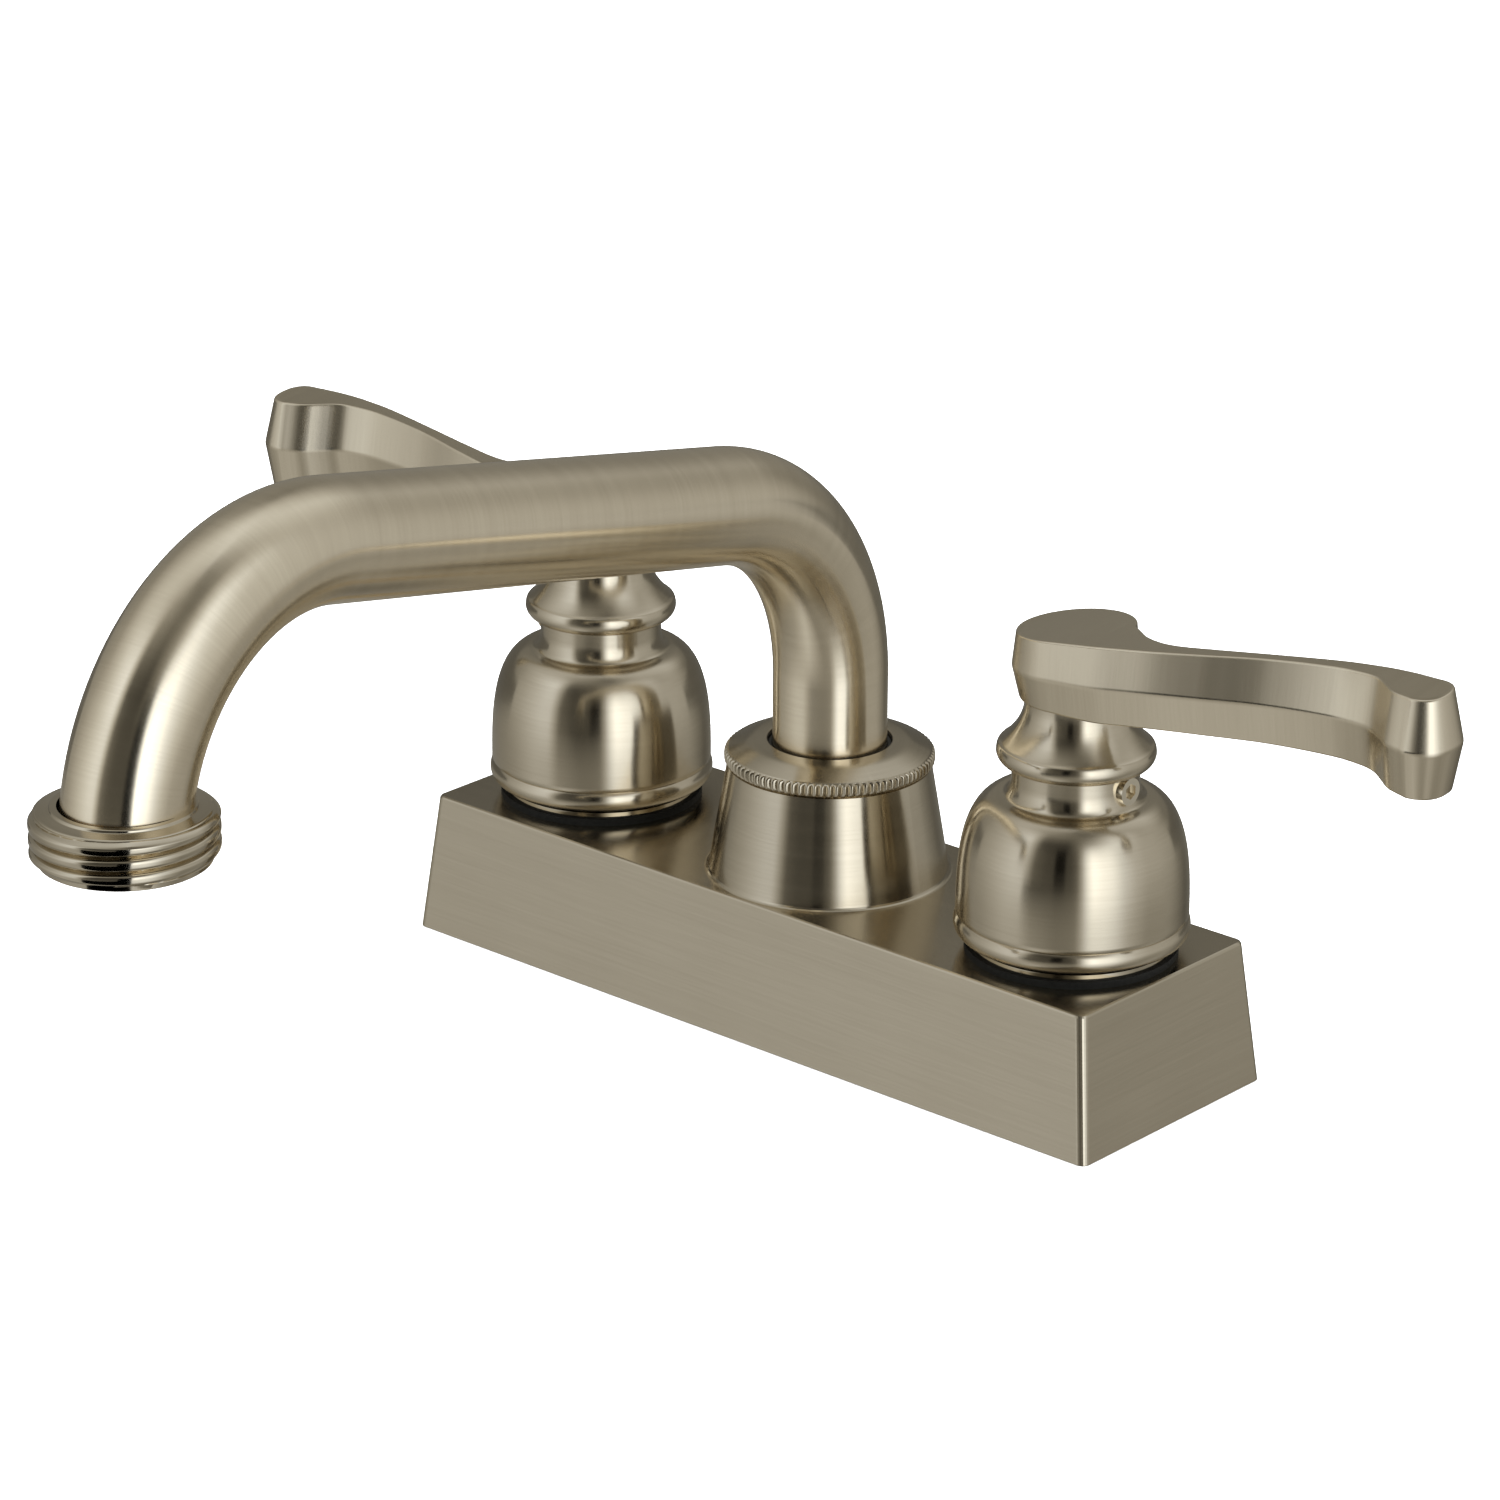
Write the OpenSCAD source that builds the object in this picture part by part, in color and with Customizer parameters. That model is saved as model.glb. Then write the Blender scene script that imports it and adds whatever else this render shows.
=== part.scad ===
// Two-handle utility sink faucet: a drafted base on two threaded shanks, bell hubs with
// S-shaped scroll levers on quarter-turn valves, and a swing spout with a hose thread.
// Millimetres. The origin is the middle of the base's underside, on the deck.
// +Z is up, X runs through both handles, and the spout points to -Y.

/* [Base] */
// Distance between the two handles, axis to axis
handle_spacing = 101.6; // [96:0.1:115]
// From a handle's axis to the foot of the base's end
base_end = 21.5; // [19.5:0.1:30]
// Width of the base at its foot
base_w = 45.6; // [45:0.1:60]
// Height of the base
base_h = 23.8; // [22:0.1:30]
// How far each end leans in at the top
end_draft = 2.7; // [0.5:0.1:4]
// How far each long side leans in at the top
side_draft = 2.1; // [0.5:0.1:2.5]
// Rounding of the base's upright corners
corner_r = 1.5; // [0.8:0.1:3]
// Rounding around the base's top
edge_r = 0.4; // [0.3:0.1:1]
// Thickness of the base's side walls
wall_t = 2.2; // [1.5:0.1:2.6]
// Thickness of the base's roof
roof_t = 2.5; // [1.5:0.1:3]
// Thickness of the gasket under the base
gasket_t = 1.6; // [1:0.1:2.5]

/* [Spout boss and nut] */
// Height of the conical boss above the base
boss_h = 18.2; // [16:0.1:26]
// Radius of the boss at its foot
boss_foot_r = 19.6; // [18.5:0.1:20]
// Radius of the boss at its top
boss_top_r = 16.7; // [15.9:0.1:18]
// Radius over the nut's knurl
nut_r = 17.2; // [16.8:0.1:19]
// Height of the nut
nut_h = 4.3; // [4:0.1:8]
// Height of the knurled band
knurl_h = 2; // [1:0.1:2.4]
// Depth of the knurl
knurl_depth = 0.45; // [0.3:0.05:0.6]
// Teeth around the knurl
knurl_teeth = 88; // [60:2:100]

/* [Spout] */
// Outer diameter of the spout tube
tube_d = 18.7; // [17:0.05:19.6]
// Wall of the spout tube
tube_wall = 1.2; // [0.8:0.1:2]
// From the swivel axis to the outlet's axis
spout_reach = 162.6; // [140:0.1:240]
// Height of the straight leg above the boss
leg_h = 15.5; // [8:0.1:40]
// Slope of the arm, rising to the outlet
arm_slope = 11.6; // [4:0.1:20]
// Bend radius at the leg
leg_bend_r = 36.8; // [30:0.1:45]
// Bend radius at the outlet
outlet_bend_r = 35.1; // [28:0.1:42]
// How far the spout is swung from straight ahead
spout_turn = 3.6; // [-30:0.1:30]

/* [Hose end] */
// Outer diameter of the hose thread
hose_d = 26.97; // [24:0.01:32]
// Height of the hose end
hose_h = 8.4; // [8:0.1:16]
// How far the mouth hangs below the end of the bend
mouth_drop = 1.4; // [1.3:0.1:12]
// Height of the lip under the end of the tube
lip_h = 0.9; // [0.6:0.1:1.1]

/* [Hubs] */
// Largest radius of the bell
bell_r = 18.8; // [18.2:0.1:22]
// Height of the bell, lip to neck
bell_h = 25.1; // [24:0.1:32]
// Gap between the base and the bell's lip
bell_gap = 2.9; // [2.4:0.1:5]
// Wall of the bell
bell_wall = 1.6; // [1.2:0.1:1.9]
// Radius of the neck above the bell
neck_r = 10.1; // [9:0.1:11.5]
// Height of the neck
neck_h = 3.4; // [2.6:0.1:6]
// Radius of the collar over the neck
collar_r = 12.6; // [12:0.1:15]
// Height of the collar's rounded underside
collar_under_h = 2.1; // [1.5:0.1:5]
// Height of the cove from the collar to the lever
collar_cove_h = 8.7; // [7.5:0.1:14]
// Radius of the hub's top, under the lever
hub_top_r = 8.3; // [6:0.1:9]

/* [Levers] */
// From the handle's axis to the lever's tip
lever_reach = 66.9; // [50:0.1:90]
// Radius of the lever's round head, at the top
head_r = 9.4; // [8.6:0.1:12]
// Thickness of the lever at the back of its head
head_t = 10.8; // [8.5:0.1:14]
// How far the top rises from the head to the tip
tip_rise = 5.9; // [0:0.1:10]
// How far the side's ridge stands out past the top edge, at the head
ridge_head = 0.6; // [0.2:0.1:1.5]
// How far the side's ridge stands out past the top edge, at the tip
ridge_tip = 1.7; // [0.2:0.1:2.5]
// How far the bottom edge draws in under the ridge
ridge_under = 1.3; // [0.2:0.1:1.5]
// Height of the ridge, as a share of the thickness
ridge_share = 0.48; // [0.3:0.01:0.7]
// How far the left handle sits off square, seen from above
left_turn = 4.5; // [-15:0.1:15]
// How far the right handle sits off square, seen from above
right_turn = 5.9; // [-15:0.1:15]

/* [Valves] */
// Outer diameter of the shank's thread
shank_d = 20.96; // [20.2:0.01:22]
// Length of the shanks below the deck
shank_l = 48; // [25:1:80]
// Bore of the shanks
shank_bore = 11.2; // [8:0.1:12]
// Radius of the valve body inside the base
body_r = 13.5; // [13:0.1:14]
// Radius of the threaded neck that comes up through the base
valve_neck_r = 12; // [11.8:0.1:12.4]
// Height of that neck above the base
valve_neck_h = 3.7; // [3.4:0.1:6]
// Depth of the cartridge's seat below the top of the neck
cartridge_depth = 20.9; // [20:0.1:22]
// Outer diameter of the cross tubes
cross_d = 9.52; // [8:0.01:10]
// Wall of the cross tubes
cross_wall = 0.8; // [0.5:0.1:1.5]
// Radius of the valve stem
stem_r = 4.2; // [3.8:0.05:4.6]
// Diameter of the set screw
set_screw_d = 4.4; // [3:0.1:5]
// How far the set screw stands out of the neck
set_screw_proud = 1; // [0:0.1:2]
// Diameter of the stud between hub and lever
stud_d = 6; // [4:0.1:8]

/* [Hidden] */
$fn = 64;
LEFT = -1;
RIGHT = 1;
skin = 0.01;
over = 1;

// Clearances
screw_gap = 0.08;
run_gap = 0.05;
oring_gap = 0.03;
slip_gap = 0.1;
disc_gap = 0.3;
seat_gap = 0.3;
tube_gap = 0.8;
hole_gap = 0.4;
brazed_gap = 0.03;
lapped_gap = 0.02;
nut_seat_gap = 0.2;

// Base, from the deck up
base_l = handle_spacing + 2 * base_end;
roof_z = base_h - roof_t;
inner_corner_r = 0.5;
foot_fillet = 0.8;
boss_top_z = base_h + boss_h;
boss_wall = 3;
boss_lip_h = 2;

// Valve stack, from the top of the valve's neck down and up
shank_r = shank_d / 2;
shank_chamfer = 1;
shank_shoulder = 0.2;
body_top_z = base_h + valve_neck_h;
seat_z = body_top_z - cartridge_depth;
shell_thread_r = 9.5;
shell_lower_r = 8.9;
chamber_r = 8;
body_bore_r = shell_thread_r + slip_gap;
seal_h = 2;
seal_r = [4.5, 7.6];
disc_h = 3;
disc_r = chamber_r - disc_gap;
fixed_disc_z = seat_z + seal_h;
turning_disc_z = fixed_disc_z + disc_h + lapped_gap;
port_span = 76;
port_r = [2.4, 6.2];
lug_w = 3;
lug_r = 8.6;
drive_w = 3;
drive_h = 1.2;
stem_foot_z = turning_disc_z + disc_h + run_gap;
stem_foot_h = 2.4;
stem_foot_room = 2.4;
chamber_top_z = stem_foot_z + stem_foot_h + stem_foot_room;
shell_foot_gap = 0.6;
shell_foot_z = seat_z + shell_foot_gap;
window_w = 6;
hex_r = 12.6;
hex_h = 4;
shell_neck_r = 7;
shell_neck_h = 4.5;
shell_top_z = body_top_z + hex_h + shell_neck_h;
stem_bore_r = stem_r + run_gap;
oring_t = 1.1;
oring_groove_w = 1.5;
oring_groove_r = stem_r + run_gap - oring_gap - oring_t;
stem_oring_rise = [5, 8];
stem_oring_z = [for (rise = stem_oring_rise) chamber_top_z + rise];
clip_t = 0.8;
clip_z = shell_top_z + seat_gap;
clip_groove_depth = 0.9;
clip_groove_r = stem_r - clip_groove_depth;
clip_r = 6;
clip_open = 60;
spline_rise = 2;
spline_teeth = 20;
spline_relief = 0.2;
spline_r = stem_r - spline_relief;
spline_depth = 0.35;

// Cross tubes and spout socket
cross_r = cross_d / 2;
port_rise = 6.4;
port_z = seat_z + port_rise;
cross_seat = 2;
socket_r = 14.2;
socket_flange_r = 18;
socket_flange_h = 3;
socket_floor_z = port_z - cross_r - slip_gap;
socket_floor_t = 3;
socket_foot_z = socket_floor_z - socket_floor_t;
socket_proud = 2;
socket_top_z = boss_top_z + socket_proud;
tube_r = tube_d / 2;
tube_bore_r = tube_r - tube_wall;
sleeve_t = 2.42;
sleeve_r = tube_r + brazed_gap + sleeve_t;
socket_bore_r = sleeve_r + run_gap;
sleeve_seat_z = base_h;
sleeve_foot_z = sleeve_seat_z + seat_gap;
sleeve_lip_h = 2;
nut_flange_z = socket_top_z + nut_seat_gap;
sleeve_top_z = nut_flange_z - seat_gap;
nut_top_z = boss_top_z + nut_h;
nut_foot_h = 0.4;
nut_edge = 0.4;
knurl_seat = 0.1;
nut_core_r = nut_r - knurl_depth - knurl_seat;
nut_bore_r = socket_r + screw_gap;
nut_shoulder_r = 13;
nut_hole_r = tube_r + tube_gap;
spout_oring_t = 1.8;
spout_groove_w = 2.2;
spout_groove_r = socket_bore_r - oring_gap - spout_oring_t;
spout_oring_rise = [5, 10];
spout_oring_z = [for (rise = spout_oring_rise) sleeve_foot_z + rise];

// Cover nuts and washers under the bells
cover_washer_r = 17;
cover_washer_t = 1.2;
cover_flange_r = 16.4;
cover_flange_t = 0.9;
cover_hex_r = 15.2;
cover_flange_z = base_h + cover_washer_t;

// Hub, from the bell's lip up
lip_z = base_h + bell_gap;
neck_z = lip_z + bell_h;
shoulder_drop = 1.9;
shoulder_z = neck_z - shoulder_drop;
collar_z = neck_z + neck_h + collar_under_h;
hub_top_z = collar_z + collar_cove_h;
bead_h = 3.7;
bead_step = 0.3;
bead_bulge = 1.4;
bead_step_angle = 18;
bead_end_angle = 54;
lip_wall = 0.3;
collar_edge_h = 1.4;
collar_edge_in = 0.6;
cove_power = 2.2;
bell_power = [2.8, 2.3];
shoulder_cove = [1.5, 3.1];
bell_steps = 18;
collar_steps = 6;
cove_steps = 8;
fillet_step = 22.5;
bell_roof_t = 5.8;
socket_wall = 4;
cavity_top_z = neck_z - bell_roof_t;
set_screw_share = 0.4;
set_screw_z = neck_z + neck_h * set_screw_share;
set_screw_end = neck_r + set_screw_proud;
set_screw_turn = -7;
set_screw_r = set_screw_d / 2;
stem_top_z = collar_z;
stud_r = stud_d / 2;
stud_in_hub = 5.5;
stud_in_lever = 5.5;
web_t = 0.5;

// Spout path, in the plane of the arm
leg_top_z = boss_top_z + leg_h;
arm_start = [leg_bend_r * (1 - sin(arm_slope)), leg_top_z + leg_bend_r * cos(arm_slope)];
arm_run = spout_reach - outlet_bend_r * (1 + sin(arm_slope)) - arm_start[0];
arm_l = arm_run / cos(arm_slope);
bend_end_z = arm_start[1] + arm_l * sin(arm_slope) - outlet_bend_r * cos(arm_slope);
mouth_z = bend_end_z - mouth_drop;
tube_end_z = mouth_z + lip_h;
hose_chamfer = 0.5;
hose_groove_h = 2.8;
hose_thread_depth = 1.1;
hose_groove_r = hose_d / 2 - hose_thread_depth;
hose_flange_in = 0.8;
hose_flange_r = hose_d / 2 - hose_flange_in;
hose_flange_t = 0.7;
hose_collar = 1.4;
tube_foot_z = sleeve_foot_z + sleeve_lip_h;
bend_swell = 0.04;
bend_lap = 0.3;

// Lever form: share of the reach, back and front edge of the top face, lift of the underside
lever_keys = [
    [0.00, -5.0, 9.3, 0.0],
    [0.12, -3.1, 9.0, 0.0],
    [0.20, 1.3, 8.4, 0.5],
    [0.28, 3.2, 7.6, 0.9],
    [0.39, 2.5, 6.0, 1.2],
    [0.54, 0.7, 3.5, 1.4],
    [0.70, -1.2, 2.1, 1.4],
    [0.775, -1.6, 2.4, 1.3],
    [0.815, -1.7, 3.1, 1.1],
    [0.85, -1.6, 4.9, 0.9],
    [0.885, -1.4, 6.9, 0.7],
    [0.94, -0.9, 8.0, 0.4]
];
head_at = [-0.6, -0.1];
tip_share = lever_keys[len(lever_keys) - 1][0];
tip_start = tip_share * lever_reach;
head_stations = 10;
blade_stations = 60;
tip_stations = 8;
head_start_angle = 5;
tip_end_angle = 84;
tip_power = 2.4;
top_power = 1.5;
top_lean = 0.08;
lean_power = 3;

// Colours
nickel = [0.66, 0.62, 0.55];
bright_nickel = [0.78, 0.76, 0.72];
brass = [0.72, 0.56, 0.28];
ceramic = [0.93, 0.92, 0.88];
black_rubber = [0.08, 0.08, 0.09];
white_plastic = [0.88, 0.88, 0.85];

// Placing

module at_handle(side) {
    translate([side * handle_spacing / 2, 0, 0]) children();
}

// A handle's moving pieces, turned to rest; the left ones are mirrored
module on_handle(side) {
    at_handle(side) rotate([0, 0, side == LEFT ? left_turn : right_turn]) {
        if (side == LEFT) mirror([1, 0, 0]) children();
        else children();
    }
}

module on_spout() {
    rotate([0, 0, spout_turn - 90]) children();
}

// Simple turned shapes

module post(r, z0, z1) {
    translate([0, 0, z0]) cylinder(r = r, h = z1 - z0);
}

module ring(r_in, r_out, z0, z1) {
    rotate_extrude() translate([r_in, z0]) square([r_out - r_in, z1 - z0]);
}

module oring(r_in, thickness, z) {
    rotate_extrude() translate([r_in + thickness / 2, z]) circle(d = thickness);
}

// A round pipe along X, from x0 to x1
module pipe_x(r, x0, x1, z) {
    translate([min(x0, x1), 0, z]) rotate([0, 90, 0]) cylinder(r = r, h = abs(x1 - x0));
}

// Base

function half_l(z) = base_l / 2 - end_draft * z / base_h;
function half_w(z) = base_w / 2 - side_draft * z / base_h;

// A block with the base's draft, set in from its outside, with a rounded top edge
module drafted_block(inset, z0, z1, round_r, top_r) {
    levels = [
        [z0, 0], [z1 - top_r, 0],
        [z1 - top_r * (1 - sin(45)), top_r * (1 - cos(45))], [z1, top_r]
    ];
    hull()
        for (level = levels, x = [-1, 1], y = [-1, 1])
            translate([
                x * (half_l(level[0]) - inset - level[1] - round_r),
                y * (half_w(level[0]) - inset - level[1] - round_r),
                min(level[0], z1 - skin)
            ])
                cylinder(r = round_r, h = skin, $fn = 32);
}

module spout_boss() {
    fillet = [
        for (a = [0 : fillet_step : 90])
            [boss_foot_r + foot_fillet * (1 - sin(a)), base_h + foot_fillet * (1 - cos(a))]
    ];
    rotate_extrude()
        polygon(concat(
            [[0, roof_z], [boss_foot_r + foot_fillet, roof_z]], fillet,
            [[boss_top_r, boss_top_z], [0, boss_top_z]]
        ));
}

module boss_cavity() {
    rotate_extrude()
        polygon([
            [0, roof_z - over], [boss_foot_r - boss_wall, roof_z - over],
            [boss_foot_r - boss_wall, roof_z], [socket_r + hole_gap, boss_top_z - boss_lip_h],
            [socket_r + hole_gap, boss_top_z + over], [0, boss_top_z + over]
        ]);
}

module base_cover() {
    color(nickel)
        difference() {
            union() {
                drafted_block(0, 0, base_h, corner_r, edge_r);
                spout_boss();
            }
            drafted_block(wall_t, -over, roof_z, inner_corner_r, edge_r);
            boss_cavity();
            for (side = [LEFT, RIGHT])
                at_handle(side) post(valve_neck_r + hole_gap, roof_z - over, base_h + over);
        }
}

module deck_gasket() {
    color(black_rubber)
        difference() {
            translate([0, 0, gasket_t / 2])
                cube([
                    2 * (half_l(gasket_t) - wall_t - hole_gap),
                    2 * (half_w(gasket_t) - wall_t - hole_gap), gasket_t
                ], center = true);
            for (side = [LEFT, RIGHT])
                at_handle(side) post(shank_r + hole_gap, -over, gasket_t + over);
        }
}

// Waterway

module valve_body(side) {
    color(brass)
        at_handle(side)
            difference() {
                rotate_extrude()
                    polygon([
                        [shank_bore / 2, -shank_l], [shank_r - shank_chamfer, -shank_l],
                        [shank_r, -shank_l + shank_chamfer], [shank_r, 0],
                        [shank_r + shank_shoulder, 0], [shank_r + shank_shoulder, gasket_t],
                        [body_r, gasket_t], [body_r, roof_z], [valve_neck_r, roof_z],
                        [valve_neck_r, body_top_z], [body_bore_r, body_top_z],
                        [body_bore_r, seat_z], [shank_bore / 2, seat_z]
                    ]);
                pipe_x(cross_r - cross_wall, 0, -side * body_r, port_z);
                pipe_x(
                    cross_r + brazed_gap, -side * (body_r - cross_seat), -side * (body_r + over), port_z
                );
            }
}

module cross_tube(side) {
    inner_x = side * (socket_r - cross_seat);
    outer_x = side * (handle_spacing / 2 - body_r + cross_seat);
    color(brass)
        difference() {
            pipe_x(cross_r, inner_x, outer_x, port_z);
            pipe_x(cross_r - cross_wall, inner_x - side * over, outer_x + side * over, port_z);
        }
}

module spout_socket() {
    color(brass)
        difference() {
            rotate_extrude()
                polygon([
                    [0, socket_foot_z], [socket_r, socket_foot_z],
                    [socket_r, roof_z - socket_flange_h], [socket_flange_r, roof_z - socket_flange_h],
                    [socket_flange_r, roof_z], [socket_r, roof_z], [socket_r, socket_top_z],
                    [socket_bore_r, socket_top_z], [socket_bore_r, sleeve_seat_z],
                    [tube_bore_r, sleeve_seat_z], [tube_bore_r, socket_floor_z], [0, socket_floor_z]
                ]);
            for (side = [LEFT, RIGHT]) {
                pipe_x(cross_r - cross_wall, 0, side * socket_r, port_z);
                pipe_x(
                    cross_r + brazed_gap, side * (socket_r - cross_seat), side * (socket_r + over), port_z
                );
            }
        }
}

// The knurl is a ring of straight teeth around the foot of the nut
module knurl_band() {
    crest = [
        for (i = [0 : 2 * knurl_teeth - 1])
            let (r = nut_r - (i % 2) * knurl_depth, a = 180 * i / knurl_teeth)
                [r * cos(a), r * sin(a)]
    ];
    linear_extrude(knurl_h)
        difference() {
            polygon(crest);
            circle(r = (nut_bore_r + nut_core_r) / 2);
        }
}

module spout_nut() {
    knurl_z = boss_top_z + nut_foot_h;
    rim_z = knurl_z + knurl_h;
    color(nickel) {
        rotate_extrude()
            polygon([
                [nut_bore_r, boss_top_z], [nut_core_r - nut_foot_h / 2, boss_top_z],
                [nut_core_r, knurl_z], [nut_core_r, rim_z], [nut_shoulder_r, nut_top_z - nut_edge / 2],
                [nut_hole_r + nut_edge, nut_top_z], [nut_hole_r, nut_top_z - nut_edge],
                [nut_hole_r, nut_flange_z], [nut_bore_r, nut_flange_z]
            ]);
        translate([0, 0, knurl_z]) knurl_band();
    }
}

// Valve cartridges

// Two facing pie-shaped ports, as a flat shape
module ports() {
    for (side = [0, 180])
        rotate(side)
            difference() {
                intersection() {
                    circle(r = port_r[1]);
                    polygon([
                        [0, 0], [2 * port_r[1], -2 * port_r[1] * tan(port_span / 2)],
                        [2 * port_r[1], 2 * port_r[1] * tan(port_span / 2)]
                    ]);
                }
                circle(r = port_r[0]);
            }
}

module cartridge_shell(side) {
    color(brass)
        at_handle(side)
            difference() {
                union() {
                    post(shell_lower_r, shell_foot_z, chamber_top_z);
                    post(shell_thread_r, chamber_top_z, body_top_z);
                    translate([0, 0, body_top_z]) cylinder(r = hex_r, h = hex_h, $fn = 6);
                    post(shell_neck_r, body_top_z + hex_h, shell_top_z);
                }
                post(chamber_r, shell_foot_z - over, chamber_top_z);
                post(stem_bore_r, chamber_top_z - over, shell_top_z + over);
                translate([-shell_thread_r, -window_w / 2, stem_foot_z])
                    cube([2 * shell_thread_r, window_w, chamber_top_z - stem_foot_z]);
                translate([-lug_w / 2 - slip_gap, -shell_thread_r, shell_foot_z - over])
                    cube([
                        lug_w + 2 * slip_gap, 2 * shell_thread_r,
                        fixed_disc_z + disc_h - shell_foot_z + over
                    ]);
            }
}

module seat_seal(side) {
    color(black_rubber)
        at_handle(side) ring(seal_r[0], seal_r[1], seat_z, seat_z + seal_h);
}

module fixed_disc(side) {
    color(ceramic)
        at_handle(side)
            translate([0, 0, fixed_disc_z])
                linear_extrude(disc_h)
                    difference() {
                        union() {
                            circle(r = disc_r);
                            square([lug_w, 2 * lug_r], center = true);
                        }
                        ports();
                    }
}

module turning_disc(side) {
    color(ceramic)
        on_handle(side)
            difference() {
                translate([0, 0, turning_disc_z])
                    linear_extrude(disc_h)
                        difference() {
                            circle(r = disc_r);
                            rotate(90) ports();
                        }
                translate([-disc_r - over, -drive_w / 2, turning_disc_z + disc_h - drive_h - slip_gap])
                    cube([2 * (disc_r + over), drive_w, drive_h + slip_gap + over]);
            }
}

module spline_outline() {
    polygon([
        for (i = [0 : 2 * spline_teeth - 1])
            let (r = spline_r - (i % 2) * spline_depth, a = 180 * i / spline_teeth)
                [r * cos(a), r * sin(a)]
    ]);
}

module stem(side) {
    spline_z = clip_z + clip_t + spline_rise;
    color(brass)
        on_handle(side) {
            difference() {
                union() {
                    post(disc_r, stem_foot_z, stem_foot_z + stem_foot_h);
                    post(stem_r, stem_foot_z, spline_z);
                }
                for (z = stem_oring_z)
                    ring(oring_groove_r, stem_r + over, z - oring_groove_w / 2, z + oring_groove_w / 2);
                ring(clip_groove_r, stem_r + over, clip_z - slip_gap, clip_z + clip_t + slip_gap);
            }
            translate([-disc_r + disc_gap, -drive_w / 2 + slip_gap, stem_foot_z - drive_h])
                cube([2 * (disc_r - disc_gap), drive_w - 2 * slip_gap, drive_h + over]);
            translate([0, 0, spline_z])
                linear_extrude(stem_top_z - spline_z) spline_outline();
        }
}

module stem_orings(side) {
    color(black_rubber)
        on_handle(side)
            for (z = stem_oring_z) oring(oring_groove_r, oring_t, z);
}

module stem_clip(side) {
    color(bright_nickel)
        on_handle(side)
            translate([0, 0, clip_z])
                linear_extrude(clip_t)
                    difference() {
                        circle(r = clip_r);
                        circle(r = clip_groove_r + slip_gap);
                        polygon([
                            [0, 0], [-2 * clip_r, -2 * clip_r * tan(clip_open / 2)],
                            [-2 * clip_r, 2 * clip_r * tan(clip_open / 2)]
                        ]);
                    }
}

module cover_washer(side) {
    color(black_rubber)
        at_handle(side)
            ring(valve_neck_r + slip_gap, cover_washer_r, base_h, base_h + cover_washer_t);
}

module cover_nut(side) {
    flange_top_z = cover_flange_z + cover_flange_t;
    color(bright_nickel)
        at_handle(side)
            difference() {
                union() {
                    post(cover_flange_r, cover_flange_z, flange_top_z);
                    translate([0, 0, flange_top_z])
                        cylinder(r = cover_hex_r, h = body_top_z - slip_gap - flange_top_z, $fn = 6);
                }
                post(valve_neck_r + screw_gap, cover_flange_z - over, body_top_z + over);
            }
}

// Handles

// The bell's side: full at the foot and rounded over into the neck
function bell_side(foot_r, top_r, foot_z, top_z) = [
    for (i = [0 : bell_steps])
        let (t = sin(90 * i / bell_steps))
            [
                top_r + (foot_r - top_r) * pow(1 - pow(t, bell_power[0]), 1 / bell_power[1]),
                foot_z + (top_z - foot_z) * t
            ]
];

function hub_outline() = concat(
    [[0, lip_z]],
    [
        for (a = [-90 : bead_step_angle : bead_end_angle])
            [bell_r - bead_bulge * (1 - cos(a)), lip_z + bead_h / 2 * (1 + sin(a))]
    ],
    bell_side(bell_r - bead_step, neck_r + shoulder_cove[0], lip_z + bead_h, shoulder_z),
    [
        for (a = [fillet_step : fillet_step : 90])
            [neck_r + shoulder_cove[0] * (1 - sin(a)), shoulder_z + shoulder_cove[1] * (1 - cos(a))]
    ],
    [
        for (i = [0 : collar_steps])
            let (a = 90 * i / collar_steps)
                [
                    neck_r + (collar_r - neck_r) * sin(a),
                    collar_z - collar_under_h * cos(a)
                ]
    ],
    [
        for (i = [0 : cove_steps])
            let (t = i / cove_steps, rim_r = collar_r - collar_edge_in)
                [
                    hub_top_r + (rim_r - hub_top_r) * pow(1 - t, cove_power),
                    collar_z + collar_edge_h + (collar_cove_h - collar_edge_h) * t
                ]
    ],
    [[0, hub_top_z]]
);

module hub(side) {
    cavity = concat(
        [[0, lip_z - over], [bell_r - bead_bulge - lip_wall, lip_z - over]],
        bell_side(bell_r - bell_wall - bead_step, stem_r + socket_wall, lip_z, cavity_top_z),
        [[0, cavity_top_z]]
    );
    color(nickel)
        on_handle(side)
            difference() {
                rotate_extrude() polygon(hub_outline());
                rotate_extrude() polygon(cavity);
                post(stem_r, cavity_top_z - over, stem_top_z + web_t);
                post(stud_r + screw_gap, hub_top_z - stud_in_hub - web_t, hub_top_z + over);
                rotate([0, 0, set_screw_turn])
                    pipe_x(set_screw_r + screw_gap, 0, set_screw_end + slip_gap, set_screw_z);
            }
}

module set_screw(side) {
    socket_depth = 2.4;
    hex_share = 0.6;
    color(bright_nickel)
        on_handle(side)
            rotate([0, 0, set_screw_turn])
                difference() {
                    pipe_x(set_screw_r, stem_r, set_screw_end, set_screw_z);
                    translate([set_screw_end - socket_depth, 0, set_screw_z])
                        rotate([0, 90, 0])
                            cylinder(r = set_screw_r * hex_share, h = socket_depth + over, $fn = 6);
                }
}

module lever_stud(side) {
    color(bright_nickel)
        on_handle(side) post(stud_r, hub_top_z - stud_in_hub, hub_top_z + stud_in_lever);
}

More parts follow.
